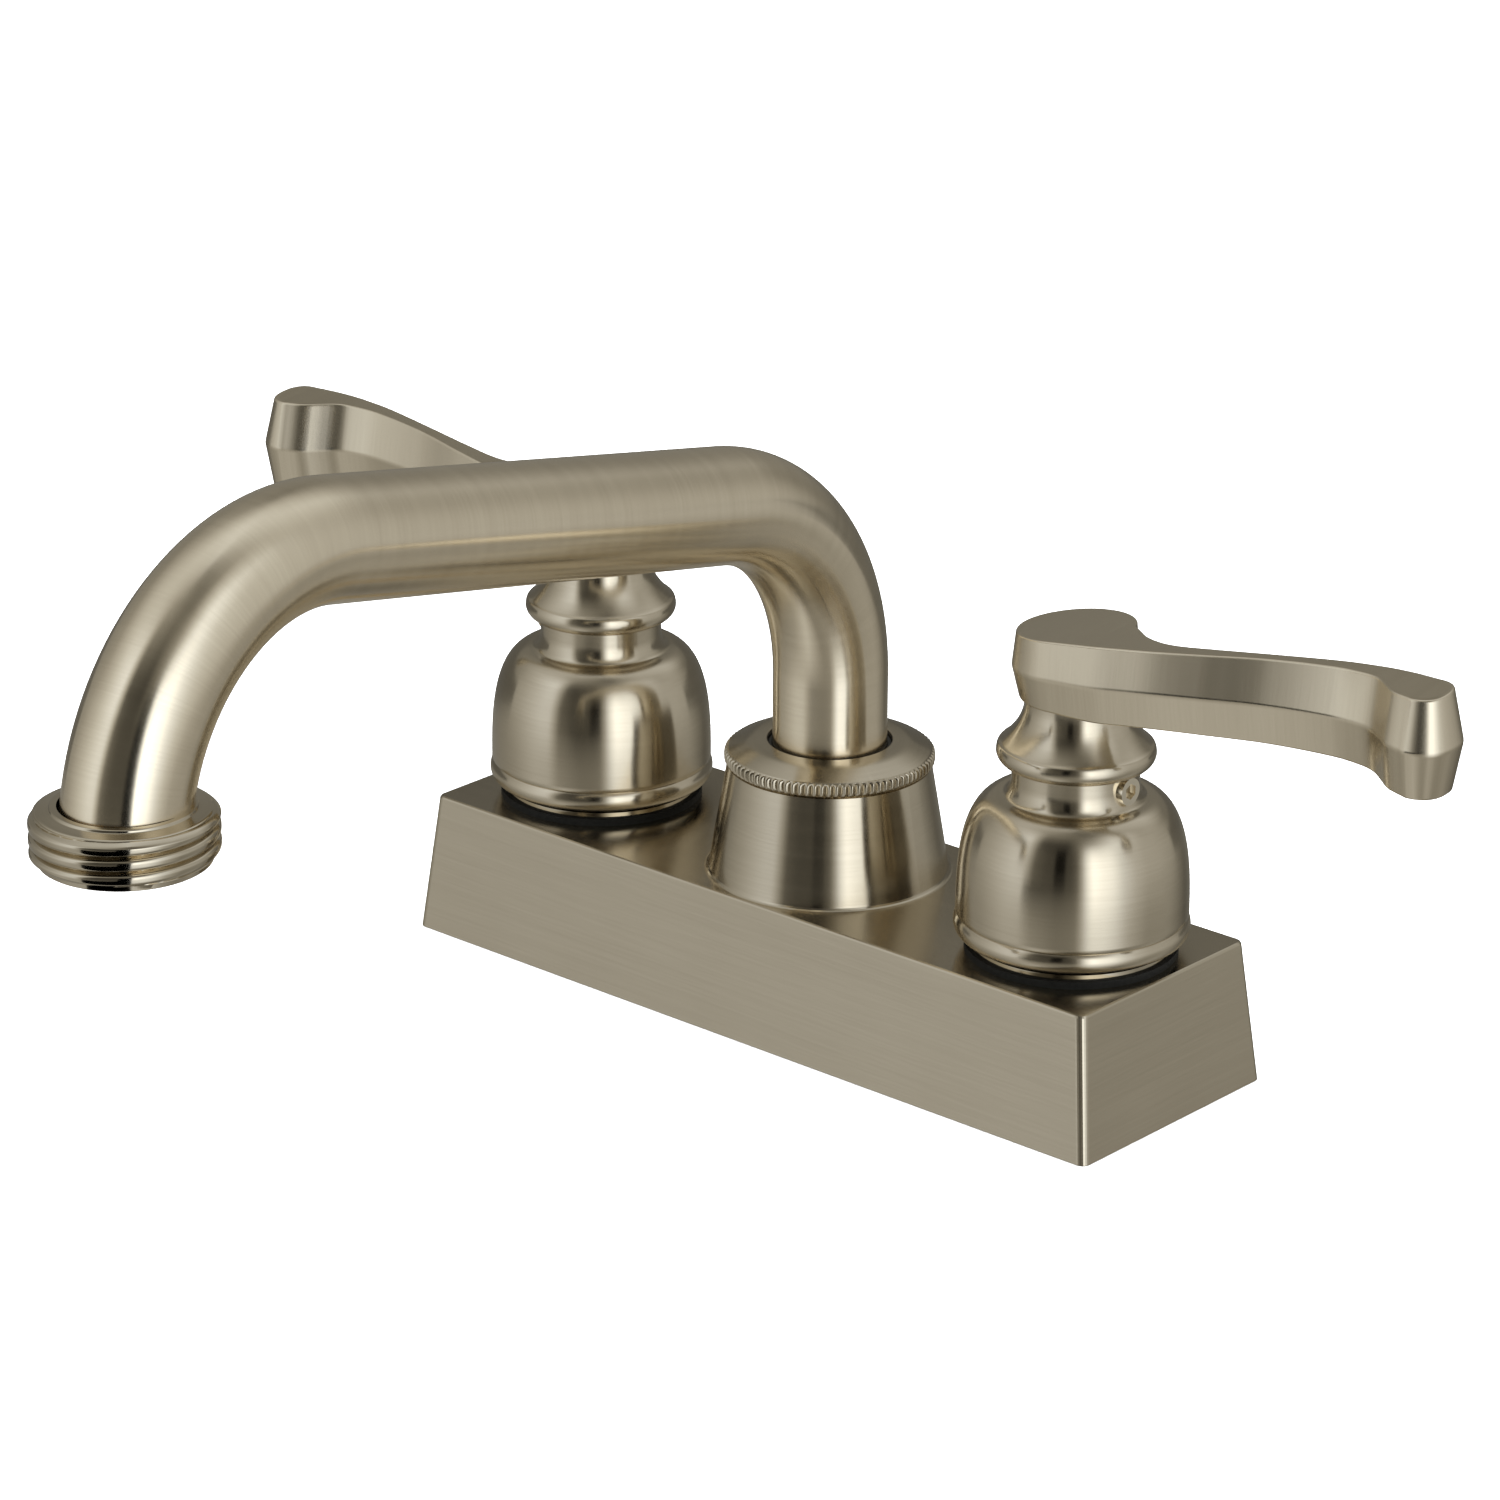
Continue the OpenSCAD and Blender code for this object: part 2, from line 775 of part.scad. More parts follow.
// A smooth curve through the keys, for one of their columns, at a share of the reach
function key_slope(i, c) =
    let (a = max(i - 1, 0), b = min(i + 1, len(lever_keys) - 1))
        (lever_keys[b][c] - lever_keys[a][c]) / (lever_keys[b][0] - lever_keys[a][0]);
function key_index(s, i = 0) =
    i + 2 >= len(lever_keys) || s < lever_keys[i + 1][0] ? i : key_index(s, i + 1);
function key_curve(s, c) =
    let (
        i = key_index(s),
        p = lever_keys[i],
        q = lever_keys[i + 1],
        w = q[0] - p[0],
        t = (s - p[0]) / w
    )
        p[c] * (1 + 2 * t) * (1 - t) * (1 - t) + q[c] * t * t * (3 - 2 * t)
        + w * t * (1 - t) * (key_slope(i, c) * (1 - t) - key_slope(i + 1, c) * t);

// Half the chord of the round head, and the blade's back and front edges; d widens both
function head_half(u, d) = sqrt(max(pow(head_r + d, 2) - pow(u - head_at[0], 2), 0));
function blade_edges(u, d) =
    let (
        s = min(u, tip_start) / lever_reach,
        mid = (key_curve(s, 1) + key_curve(s, 2)) / 2,
        half = (key_curve(s, 2) - key_curve(s, 1)) / 2 + d,
        t = max(u - tip_start, 0) / (lever_reach - tip_start + d),
        k = pow(1 - pow(min(t, 1), tip_power), 1 / tip_power)
    )
        [mid - half * k, mid + half * k];
function edges(u, d) =
    let (
        h = head_half(u, d),
        in_head = u - head_at[0] < head_r + d,
        blade = u < 0 ? [head_at[1], head_at[1]] : blade_edges(u, d)
    )
        [
            in_head ? min(head_at[1] - h, blade[0]) : blade[0],
            in_head ? max(head_at[1] + h, blade[1]) : blade[1]
        ];

// Places along the lever: around the head, along the blade and around the tip
lever_count = head_stations + blade_stations + tip_stations;
function station(i, d) =
    i < head_stations
        ? head_at[0] - (head_r + d) * cos(head_start_angle + (90 - head_start_angle) * i / head_stations)
    : i <= head_stations + blade_stations
        ? tip_start * (i - head_stations) / blade_stations
    : let (a = tip_end_angle * (i - head_stations - blade_stations) / tip_stations)
        tip_start + (lever_reach - tip_start + d) * sin(a);

// Six points around the lever at each place: top, ridge and bottom, at the back and at the front;
// towards the tip the top leans to the front
function lever_top(u) =
    let (s = 1 - (u + head_r) / (lever_reach + head_r))
        head_t + tip_rise * (1 - pow(s, top_power));
function lever_section(i) =
    let (
        s = min(max(station(i, 0) / lever_reach, 0), 1),
        ridge = ridge_head + (ridge_tip - ridge_head) * s,
        foot = ridge - ridge_under,
        u = [station(i, 0), station(i, ridge), station(i, foot)],
        e = [edges(u[0], 0), edges(u[1], ridge), edges(u[2], foot)],
        low = key_curve(min(s, tip_share), 3),
        top = lever_top(u[0]),
        lean = top_lean * pow(s, lean_power),
        mid = low + (top - low) * ridge_share
    )
        [
            [u[0], -e[0][0], top - lean * e[0][0]], [u[1], -e[1][0], mid], [u[2], -e[2][0], low],
            [u[2], -e[2][1], low], [u[1], -e[1][1], mid], [u[0], -e[0][1], top - lean * e[0][1]]
        ];

module lever_body() {
    points = [for (i = [0 : lever_count]) each lever_section(i)];
    sides = [
        for (i = [0 : lever_count - 1], j = [0 : 5])
            let (a = 6 * i + j, b = 6 * i + (j + 1) % 6)
                each [[a, b, b + 6], [a, b + 6, a + 6]]
    ];
    last = 6 * lever_count;
    ends = [[for (j = [0 : 5]) 5 - j], [for (j = [0 : 5]) last + j]];
    polyhedron(points = points, faces = concat(sides, ends));
}

module lever(side) {
    color(nickel)
        on_handle(side)
            translate([0, 0, hub_top_z])
                difference() {
                    lever_body();
                    post(stud_r + screw_gap, -over, stud_in_lever + web_t);
                }
}

// Spout

// The bend at the outlet, as a round bar
module outlet_bend(r) {
    translate([spout_reach - outlet_bend_r, 0, bend_end_z])
        rotate([90, 0, 0])
            rotate_extrude(angle = 90 + arm_slope)
                translate([outlet_bend_r, 0]) circle(r = r);
}

// The spout's whole path as a round bar: the straights run a little way into the bends
module spout_bar(r, past_ends) {
    post(r, tube_foot_z - past_ends, leg_top_z + bend_lap);
    translate([leg_bend_r, 0, leg_top_z])
        rotate([90, 0, 0])
            rotate([0, 0, 90 + arm_slope])
                rotate_extrude(angle = 90 - arm_slope)
                    translate([leg_bend_r, 0]) circle(r = r + bend_swell);
    translate([arm_start[0], 0, arm_start[1]])
        rotate([0, 90 - arm_slope, 0])
            post(r, -bend_lap, arm_l + bend_lap);
    outlet_bend(r + bend_swell);
    translate([spout_reach, 0, 0])
        post(r, tube_end_z - past_ends, bend_end_z + bend_lap);
}

module spout_tube() {
    color(nickel)
        on_spout()
            difference() {
                spout_bar(tube_r, 0);
                spout_bar(tube_bore_r, over);
            }
}

module hose_end() {
    hose_r = hose_d / 2;
    groove_z = hose_h - hose_groove_h;
    flange_z = groove_z + 2 * hose_chamfer;
    color(bright_nickel)
        on_spout()
            difference() {
                translate([spout_reach, 0, mouth_z])
                    rotate_extrude()
                        polygon([
                            [tube_bore_r, 0], [hose_r - hose_chamfer, 0], [hose_r, hose_chamfer],
                            [hose_r, groove_z], [hose_groove_r, groove_z + hose_chamfer],
                            [hose_groove_r, flange_z], [hose_flange_r, flange_z],
                            [hose_flange_r, flange_z + hose_flange_t],
                            [tube_r + hose_collar, hose_h], [tube_bore_r, hose_h]
                        ]);
                translate([spout_reach, 0, tube_end_z])
                    cylinder(r = tube_r + brazed_gap, h = bend_end_z - tube_end_z);
                outlet_bend(tube_r + bend_swell + brazed_gap);
            }
}

module swivel_sleeve() {
    color(white_plastic)
        on_spout()
            difference() {
                rotate_extrude()
                    polygon([
                        [tube_bore_r, sleeve_foot_z], [sleeve_r, sleeve_foot_z],
                        [sleeve_r, sleeve_top_z], [tube_r + brazed_gap, sleeve_top_z],
                        [tube_r + brazed_gap, tube_foot_z], [tube_bore_r, tube_foot_z]
                    ]);
                for (z = spout_oring_z)
                    ring(
                        spout_groove_r, sleeve_r + over,
                        z - spout_groove_w / 2, z + spout_groove_w / 2
                    );
            }
}

module spout_orings() {
    color(black_rubber)
        on_spout()
            for (z = spout_oring_z) oring(spout_groove_r, spout_oring_t, z);
}

base_cover();
deck_gasket();
spout_socket();
spout_nut();
valve_body(LEFT);  // left_valve_body
valve_body(RIGHT);  // right_valve_body
cross_tube(LEFT);  // left_cross_tube
cross_tube(RIGHT);  // right_cross_tube
cartridge_shell(LEFT);  // left_cartridge_shell
cartridge_shell(RIGHT);  // right_cartridge_shell
seat_seal(LEFT);  // left_seat_seal
seat_seal(RIGHT);  // right_seat_seal
fixed_disc(LEFT);  // left_fixed_disc
fixed_disc(RIGHT);  // right_fixed_disc
cover_washer(LEFT);  // left_cover_washer
cover_washer(RIGHT);  // right_cover_washer
cover_nut(LEFT);  // left_cover_nut
cover_nut(RIGHT);  // right_cover_nut
turning_disc(LEFT);  // left_turning_disc
turning_disc(RIGHT);  // right_turning_disc
stem(LEFT);  // left_stem
stem(RIGHT);  // right_stem
stem_orings(LEFT);  // left_stem_orings
stem_orings(RIGHT);  // right_stem_orings
stem_clip(LEFT);  // left_stem_clip
stem_clip(RIGHT);  // right_stem_clip
hub(LEFT);  // left_hub
hub(RIGHT);  // right_hub
set_screw(LEFT);  // left_set_screw
set_screw(RIGHT);  // right_set_screw
lever_stud(LEFT);  // left_lever_stud
lever_stud(RIGHT);  // right_lever_stud
lever(LEFT);  // left_lever
lever(RIGHT);  // right_lever
spout_tube();
hose_end();
swivel_sleeve();
spout_orings();
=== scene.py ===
"""Dresses the utility sink faucet: satin plating, turned and swept skins, threads and a plain studio."""

import logging
import math
from collections.abc import Callable, Sequence
from dataclasses import dataclass, field, replace
from enum import Enum
from functools import partial

import bmesh
import bpy
from mathutils import Matrix, Vector


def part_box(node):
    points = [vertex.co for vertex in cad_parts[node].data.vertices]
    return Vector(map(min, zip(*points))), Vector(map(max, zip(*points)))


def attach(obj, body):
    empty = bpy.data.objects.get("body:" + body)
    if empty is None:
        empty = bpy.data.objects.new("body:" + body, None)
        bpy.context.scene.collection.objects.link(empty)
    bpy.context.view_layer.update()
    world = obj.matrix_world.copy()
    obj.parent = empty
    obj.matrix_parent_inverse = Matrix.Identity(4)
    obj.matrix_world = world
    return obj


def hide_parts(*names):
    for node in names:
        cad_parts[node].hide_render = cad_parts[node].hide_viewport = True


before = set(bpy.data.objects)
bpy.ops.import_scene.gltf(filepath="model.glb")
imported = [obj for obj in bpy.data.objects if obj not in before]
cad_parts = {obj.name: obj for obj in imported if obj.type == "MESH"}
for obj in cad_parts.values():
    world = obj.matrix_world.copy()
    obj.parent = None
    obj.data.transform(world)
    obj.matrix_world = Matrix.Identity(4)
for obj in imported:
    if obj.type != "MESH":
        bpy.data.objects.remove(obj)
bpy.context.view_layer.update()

LOG = logging.getLogger("faucet")
MM = 0.001
QUARTER = math.pi / 2
X_WAY, Y_WAY, UP = Vector((1, 0, 0)), Vector((0, 1, 0)), Vector((0, 0, 1))

Colour = tuple[float, float, float]
Material = bpy.types.Material
NodeTree = bpy.types.NodeTree
Piece = bpy.types.Object
Profile = list[tuple[float, float]]
Radius = float | Callable[[float], float]
Ring = list[Vector]
Socket = bpy.types.NodeSocket


class Side(Enum):
    """The two handles, by the sign of their place along X."""

    LEFT = -1
    RIGHT = 1

    @property
    def word(self) -> str:
        """The side's name as the nodes and bodies spell it."""
        return self.name.lower()


class Grain(Enum):
    """How a brushed surface finds the run of its lines."""

    AROUND_AXIS = "around an upright axis"
    ALONG_RINGS = "along the rings of a skinned piece"
    ACROSS_RINGS = "across the rings of a skinned piece"
    LEVEL = "level on upright faces, and along X on flat ones"


class Ends(Enum):
    """How a skin of rings is closed."""

    CAPPED = "a flat face at both ends"
    LOOPED = "the last ring joins the first"
    BRIDGED = "strips across both end rings"


class Kind(Enum):
    """Socket types of the shared effects."""

    NUMBER = "NodeSocketFloat"
    COLOUR = "NodeSocketColor"
    VECTOR = "NodeSocketVector"


class NodeSheet:
    """A node tree with short calls for its nodes and links."""

    def __init__(self, tree: NodeTree) -> None:
        """Keeps the tree that the calls add to."""
        self.tree = tree

    def add(self, kind: str, *values: object, **settings: object) -> bpy.types.Node:
        """Adds one node.

        Args:
            kind: The node's type name.
            values: What its first inputs take, in order.
            settings: Attributes to set on it.

        Returns:
            The new node.
        """
        node = self.tree.nodes.new(kind)
        for name, value in settings.items():
            setattr(node, name, value)
        for socket, value in zip(node.inputs, values):
            self.feed(socket, value)
        return node

    def feed(self, socket: Socket, value: object) -> None:
        """Links a socket to an input, or sets the input's own value.

        Args:
            socket: The input.
            value: An output socket, or a plain value.
        """
        if isinstance(value, Socket):
            self.tree.links.new(value, socket)
        else:
            socket.default_value = value

    def math(self, operation: str, *values: object) -> Socket:
        """Adds a Math node.

        Args:
            operation: The node's operation.
            values: What its inputs take.

        Returns:
            Its output.
        """
        return self.add("ShaderNodeMath", *values, operation=operation).outputs[0]

    def vector(self, operation: str, *values: object) -> Socket:
        """Adds a Vector Math node.

        Args:
            operation: The node's operation.
            values: What its inputs take.

        Returns:
            Its output, a number for DOT_PRODUCT and LENGTH.
        """
        node = self.add("ShaderNodeVectorMath", *values, operation=operation)
        return node.outputs["Value" if operation in ("DOT_PRODUCT", "LENGTH") else "Vector"]

    def combine(self, *parts: object) -> Socket:
        """A vector made of up to three parts."""
        return self.add("ShaderNodeCombineXYZ", *parts).outputs[0]

    def span(self, value: object, low: object, high: object, to_low: object = 0.0, to_high: object = 1.0,
             smooth: bool = False) -> Socket:
        """Adds a clamped Map Range node.

        Args:
            value: What is mapped.
            low: Value that gives to_low.
            high: Value that gives to_high.
            to_low: Result at low.
            to_high: Result at high.
            smooth: True for an eased step.

        Returns:
            Its output.
        """
        node = self.add("ShaderNodeMapRange", interpolation_type="SMOOTHSTEP" if smooth else "LINEAR")
        for name, given in zip(("Value", "From Min", "From Max", "To Min", "To Max"),
                               (value, low, high, to_low, to_high)):
            self.feed(node.inputs[name], given)
        return node.outputs["Result"]

    def noise(self, place: object, scale: object, detail: float, roughness: float = 0.5) -> Socket:
        """Adds a Noise Texture.

        Args:
            place: Where it is read.
            scale: Its scale.
            detail: Its octaves.
            roughness: How strong the fine octaves are.

        Returns:
            Its value.
        """
        node = self.add("ShaderNodeTexNoise")
        self.feed(node.inputs["Vector"], place)
        self.feed(node.inputs["Scale"], scale)
        node.inputs["Detail"].default_value = detail
        node.inputs["Roughness"].default_value = roughness
        return node.outputs["Fac"]

    def mix(self, share: object, first: object, second: object) -> Socket:
        """Adds a colour Mix node.

        Args:
            share: How much of the second colour shows.
            first: The colour at 0.
            second: The colour at 1.

        Returns:
            The mixed colour.
        """
        node = self.add("ShaderNodeMix", data_type="RGBA")
        self.feed(node.inputs["Factor"], share)
        self.feed(node.inputs["A"], first)
        self.feed(node.inputs["B"], second)
        return node.outputs["Result"]


def node_group(name: str, inputs: dict[str, Kind], outputs: dict[str, Kind]) -> tuple[NodeSheet, dict, dict]:
    """Starts a shader node group.

    Args:
        name: The group's name.
        inputs: Socket types by input name.
        outputs: Socket types by output name.

    Returns:
        The group's sheet, its inputs inside the group, and its outputs inside the group.
    """
    tree = bpy.data.node_groups.new(name, "ShaderNodeTree")
    for names, way in ((inputs, "INPUT"), (outputs, "OUTPUT")):
        for socket, kind in names.items():
            tree.interface.new_socket(socket, in_out=way, socket_type=kind.value)
    sheet = NodeSheet(tree)
    enter, leave = sheet.add("NodeGroupInput"), sheet.add("NodeGroupOutput")
    return sheet, {n: enter.outputs[n] for n in inputs}, {n: leave.inputs[n] for n in outputs}


# Between which values most of a noise lies, and the same for the sharper noise of brush lines
NOISE_SPAN, LINE_SPAN = (0.3, 0.7), (0.28, 0.72)
# Scale of a brush's streaks against its lines, and of the clouds on plating and on moulded pieces
STREAK_SCALE, PLATE_CLOUDS, MOULD_CLOUDS = 0.14, 45.0, 60.0
# Shares of lines, streaks and clouds in the tone of plating
LINE_SHARE, STREAK_SHARE, CLOUD_SHARE = 0.45, 0.3, 0.25
# Between which values of Pointiness an outer edge is buffed
EDGE_SPAN = (0.53, 0.62)
# Share of specks against clouds on moulded pieces, and between which values they show
SPECK_SHARE, SPECK_SPAN = 0.7, (0.35, 0.65)


class Effects:
    """Surface effects that several finishes share, each a node group made once."""

    def __init__(self) -> None:
        """Builds the groups."""
        self.brush_lines = self._brush_lines()
        self.plate_tone = self._plate_tone()
        self.edge_polish = self._edge_polish()
        self.speckle = self._speckle()

    @staticmethod
    def _brush_lines() -> NodeTree:
        """Fine lines and broader streaks of a brush; Z of the place runs across them.

        Returns:
            The group, with the outputs Line and Streak.
        """
        sheet, get, put = node_group(
            "brush_lines", {"Place": Kind.VECTOR, "Along": Kind.NUMBER, "Across": Kind.NUMBER},
            {"Line": Kind.NUMBER, "Streak": Kind.NUMBER})
        scale = sheet.combine(get["Along"], get["Along"], get["Across"])
        place = sheet.vector("MULTIPLY", get["Place"], scale)
        sheet.feed(put["Line"], sheet.span(sheet.noise(place, 1.0, 3.0, 0.65), *LINE_SPAN))
        sheet.feed(put["Streak"], sheet.span(sheet.noise(place, STREAK_SCALE, 2.0), *NOISE_SPAN))
        return sheet.tree

    @staticmethod
    def _plate_tone() -> NodeTree:
        """Colour and roughness of plating, from its brush lines and a slow cloudiness.

        Returns:
            The group, with the outputs Colour and Roughness.
        """
        sheet, get, put = node_group(
            "plate_tone",
            {"Line": Kind.NUMBER, "Streak": Kind.NUMBER, "Place": Kind.VECTOR, "Light": Kind.COLOUR,
             "Dark": Kind.COLOUR, "Edge": Kind.NUMBER, "Smooth": Kind.NUMBER, "Rough": Kind.NUMBER},
            {"Colour": Kind.COLOUR, "Roughness": Kind.NUMBER})
        cloud = sheet.span(sheet.noise(get["Place"], PLATE_CLOUDS, 2.0), *NOISE_SPAN)
        streaks = sheet.math("MULTIPLY", get["Streak"], STREAK_SHARE)
        grain = sheet.math("MULTIPLY_ADD", get["Line"], LINE_SHARE, streaks)
        share = sheet.math("MULTIPLY_ADD", cloud, CLOUD_SHARE, grain)
        dull, inner = (sheet.math("SUBTRACT", 1.0, value) for value in (share, get["Edge"]))
        sheet.feed(put["Colour"], sheet.mix(sheet.math("MULTIPLY", dull, inner), get["Light"], get["Dark"]))
        haze = sheet.math("MULTIPLY_ADD", get["Streak"], 0.5, sheet.math("MULTIPLY", cloud, 0.5))
        sheet.feed(put["Roughness"], sheet.span(haze, 0.0, 1.0, get["Smooth"], get["Rough"]))
        return sheet.tree

    @staticmethod
    def _edge_polish() -> NodeTree:
        """Where outer edges are buffed brighter by polishing and use.

        Returns:
            The group, with the output Mask.
        """
        sheet, get, put = node_group("edge_polish", {"Amount": Kind.NUMBER}, {"Mask": Kind.NUMBER})
        mask = sheet.span(sheet.add("ShaderNodeNewGeometry").outputs["Pointiness"], *EDGE_SPAN)
        sheet.feed(put["Mask"], sheet.math("MULTIPLY", mask, get["Amount"]))
        return sheet.tree

    @staticmethod
    def _speckle() -> NodeTree:
        """Cloudy colour and fine pits of a moulded or fired material.

        Returns:
            The group, with the outputs Colour, Roughness and Height.
        """
        sheet, get, put = node_group(
            "speckle",
            {"Place": Kind.VECTOR, "Scale": Kind.NUMBER, "Base": Kind.COLOUR, "Speck": Kind.COLOUR,
             "Smooth": Kind.NUMBER, "Rough": Kind.NUMBER},
            {"Colour": Kind.COLOUR, "Roughness": Kind.NUMBER, "Height": Kind.NUMBER})
        fine = sheet.noise(get["Place"], get["Scale"], 4.0, 0.6)
        slow = sheet.noise(get["Place"], MOULD_CLOUDS, 2.0)
        clouds = sheet.math("MULTIPLY", slow, 1 - SPECK_SHARE)
        share = sheet.span(sheet.math("MULTIPLY_ADD", fine, SPECK_SHARE, clouds), *SPECK_SPAN)
        sheet.feed(put["Colour"], sheet.mix(share, get["Base"], get["Speck"]))
        sheet.feed(put["Roughness"], sheet.span(slow, *NOISE_SPAN, get["Smooth"], get["Rough"]))
        sheet.feed(put["Height"], fine)
        return sheet.tree


def place_group(sheet: NodeSheet, tree: NodeTree, **values: object) -> bpy.types.NodeOutputs:
    """Places a node group in a material.

    Args:
        sheet: The material's sheet.
        tree: The group.
        values: What its inputs take, by name.

    Returns:
        The group's outputs.
    """
    node = sheet.add("ShaderNodeGroup", node_tree=tree)
    for name, value in values.items():
        sheet.feed(node.inputs[name], value)
    return node.outputs


def opaque(colour: Colour) -> tuple[float, float, float, float]:
    """The colour with a full alpha."""
    return (*colour, 1.0)


def new_material(name: str) -> tuple[Material, NodeSheet, bpy.types.Node]:
    """Starts a material.

    Args:
        name: The material's name.

    Returns:
        The material, its sheet and its Principled shader.
    """
    material = bpy.data.materials.new(name)
    material.use_nodes = True
    material.node_tree.nodes.clear()
    sheet = NodeSheet(material.node_tree)
    shader = sheet.add("ShaderNodeBsdfPrincipled")
    sheet.feed(sheet.add("ShaderNodeOutputMaterial").inputs["Surface"], shader.outputs["BSDF"])
    return material, sheet, shader


def add_bump(sheet: NodeSheet, shader: bpy.types.Node, height: Socket, depth: float) -> None:
    """Gives a shader a bump.

    Args:
        sheet: The material's sheet.
        shader: The shader.
        height: Height from 0 to 1.
        depth: What a height of 1 stands for, in metres.
    """
    bump = sheet.add("ShaderNodeBump")
    bump.inputs["Distance"].default_value = depth
    sheet.feed(bump.inputs["Height"], height)
    sheet.feed(shader.inputs["Normal"], bump.outputs["Normal"])


def matt_material(name: str, colour: Colour) -> tuple[Material, bpy.types.Node]:
    """A plain material of the studio, with no gloss.

    Args:
        name: Its name.
        colour: Its colour.

    Returns:
        The material and its shader.
    """
    material, _, shader = new_material(name)
    for socket, value in (("Base Color", opaque(colour)), ("Roughness", 1.0), ("Specular IOR Level", 0.0)):
        shader.inputs[socket].default_value = value
    return material, shader


# Between which upward parts of its normal a face counts as flat, and what keeps the lines there along X
FLAT_SPAN, FLAT_RUN = (0.6, 0.8), 0.15
# How much a step outward counts against a step up, across turned lines
TURNED_SLANT = 0.31
# Turn of the highlight, as a share of a full turn, that stretches it across the lines
ACROSS_LINES = 0.25


@dataclass(frozen=True)
class Metal:
    """A plated or bare metal finish.

    Attributes:
        name: Its name, also that of the record's slot.
        light: Colour of its bright lines.
        dark: Colour of its dull lines.
        smooth: Roughness where it is buffed best.
        rough: Roughness where it is dullest.
        stretch: Anisotropy across the lines.
        lines: Brush lines to the metre.
        line_run: Breaks of a line to the metre.
        depth: Depth of the lines, in metres.
        edge: How much brighter its edges are.
    """

    name: str
    light: Colour
    dark: Colour
    smooth: float
    rough: float
    stretch: float = 0.0
    lines: float = 4000.0
    line_run: float = 60.0
    depth: float = 2e-6
    edge: float = 0.5

    def material(self, effects: Effects, grain: Grain) -> Material:
        """Builds the finish for one kind of piece.

        Args:
            effects: The shared effects.
            grain: How the lines run.

        Returns:
            The material.
        """
        material, sheet, shader = new_material(f"{self.name}_{grain.name.lower()}")
        source = sheet.add("ShaderNodeTexCoord").outputs
        spot = source["Object"]
        if grain is Grain.LEVEL:
            place, run = self._level_place(sheet, spot)
        elif grain is Grain.AROUND_AXIS:
            place = self._axis_place(sheet, spot)
            run = sheet.add("ShaderNodeTangent", direction_type="RADIAL", axis="Z").outputs["Tangent"]
        else:
            place = self._ring_place(sheet, source["UV"], grain)
            run = sheet.add("ShaderNodeTangent", direction_type="UV_MAP").outputs["Tangent"]
        brush = place_group(sheet, effects.brush_lines, Place=place, Along=self.line_run, Across=self.lines)
        edge = place_group(sheet, effects.edge_polish, Amount=self.edge)
        tone = place_group(
            sheet, effects.plate_tone, Line=brush["Line"], Streak=brush["Streak"], Place=spot,
            Light=opaque(self.light), Dark=opaque(self.dark), Edge=edge["Mask"], Smooth=self.smooth,
            Rough=self.rough)
        shader.inputs["Metallic"].default_value = 1.0
        sheet.feed(shader.inputs["Base Color"], tone["Colour"])
        sheet.feed(shader.inputs["Roughness"], tone["Roughness"])
        if self.stretch:
            turn = 0.0 if grain is Grain.ACROSS_RINGS else ACROSS_LINES
            shader.inputs["Anisotropic"].default_value = self.stretch
            shader.inputs["Anisotropic Rotation"].default_value = turn
            sheet.feed(shader.inputs["Tangent"], run)
        add_bump(sheet, shader, brush["Line"], self.depth)
        return material

    @staticmethod
    def _ring_place(sheet: NodeSheet, uv: Socket, grain: Grain) -> Socket:
        """A place on a skinned piece, with Z across its lines.

        Args:
            sheet: The material's sheet.
            uv: The run along and across the rings, in metres.
            grain: Whether the lines run along or across the rings.

        Returns:
            The place.
        """
        run = sheet.add("ShaderNodeSeparateXYZ", uv).outputs
        along, across = ("X", "Y") if grain is Grain.ALONG_RINGS else ("Y", "X")
        return sheet.combine(run[along], 0.0, run[across])

    @staticmethod
    def _level_place(sheet: NodeSheet, spot: Socket) -> tuple[Socket, Socket]:
        """A place on a cast box, with Z across its level lines.

        Args:
            sheet: The material's sheet.
            spot: The point on the piece.

        Returns:
            The place and the run of the lines.
        """
        facing = sheet.add("ShaderNodeNewGeometry").outputs["Normal"]
        parts = sheet.add("ShaderNodeSeparateXYZ", spot).outputs
        flat = sheet.span(sheet.vector("DOT_PRODUCT", facing, UP), *FLAT_SPAN)
        across = sheet.math("MULTIPLY_ADD", parts["Y"], flat, parts["Z"])
        level = sheet.vector("CROSS_PRODUCT", UP, facing)
        return sheet.combine(parts["X"], parts["Y"], across), sheet.vector("ADD", level, X_WAY * FLAT_RUN)

    @staticmethod
    def _axis_place(sheet: NodeSheet, spot: Socket) -> Socket:
        """A place round the upright axis, with Z across level and turned lines alike.

        Args:
            sheet: The material's sheet.
            spot: The point on the piece.

        Returns:
            The place.
        """
        parts = sheet.add("ShaderNodeSeparateXYZ", spot).outputs
        outward = sheet.vector("LENGTH", sheet.combine(parts["X"], parts["Y"]))
        across = sheet.math("MULTIPLY_ADD", outward, TURNED_SLANT, parts["Z"])
        return sheet.combine(parts["X"], parts["Y"], across)


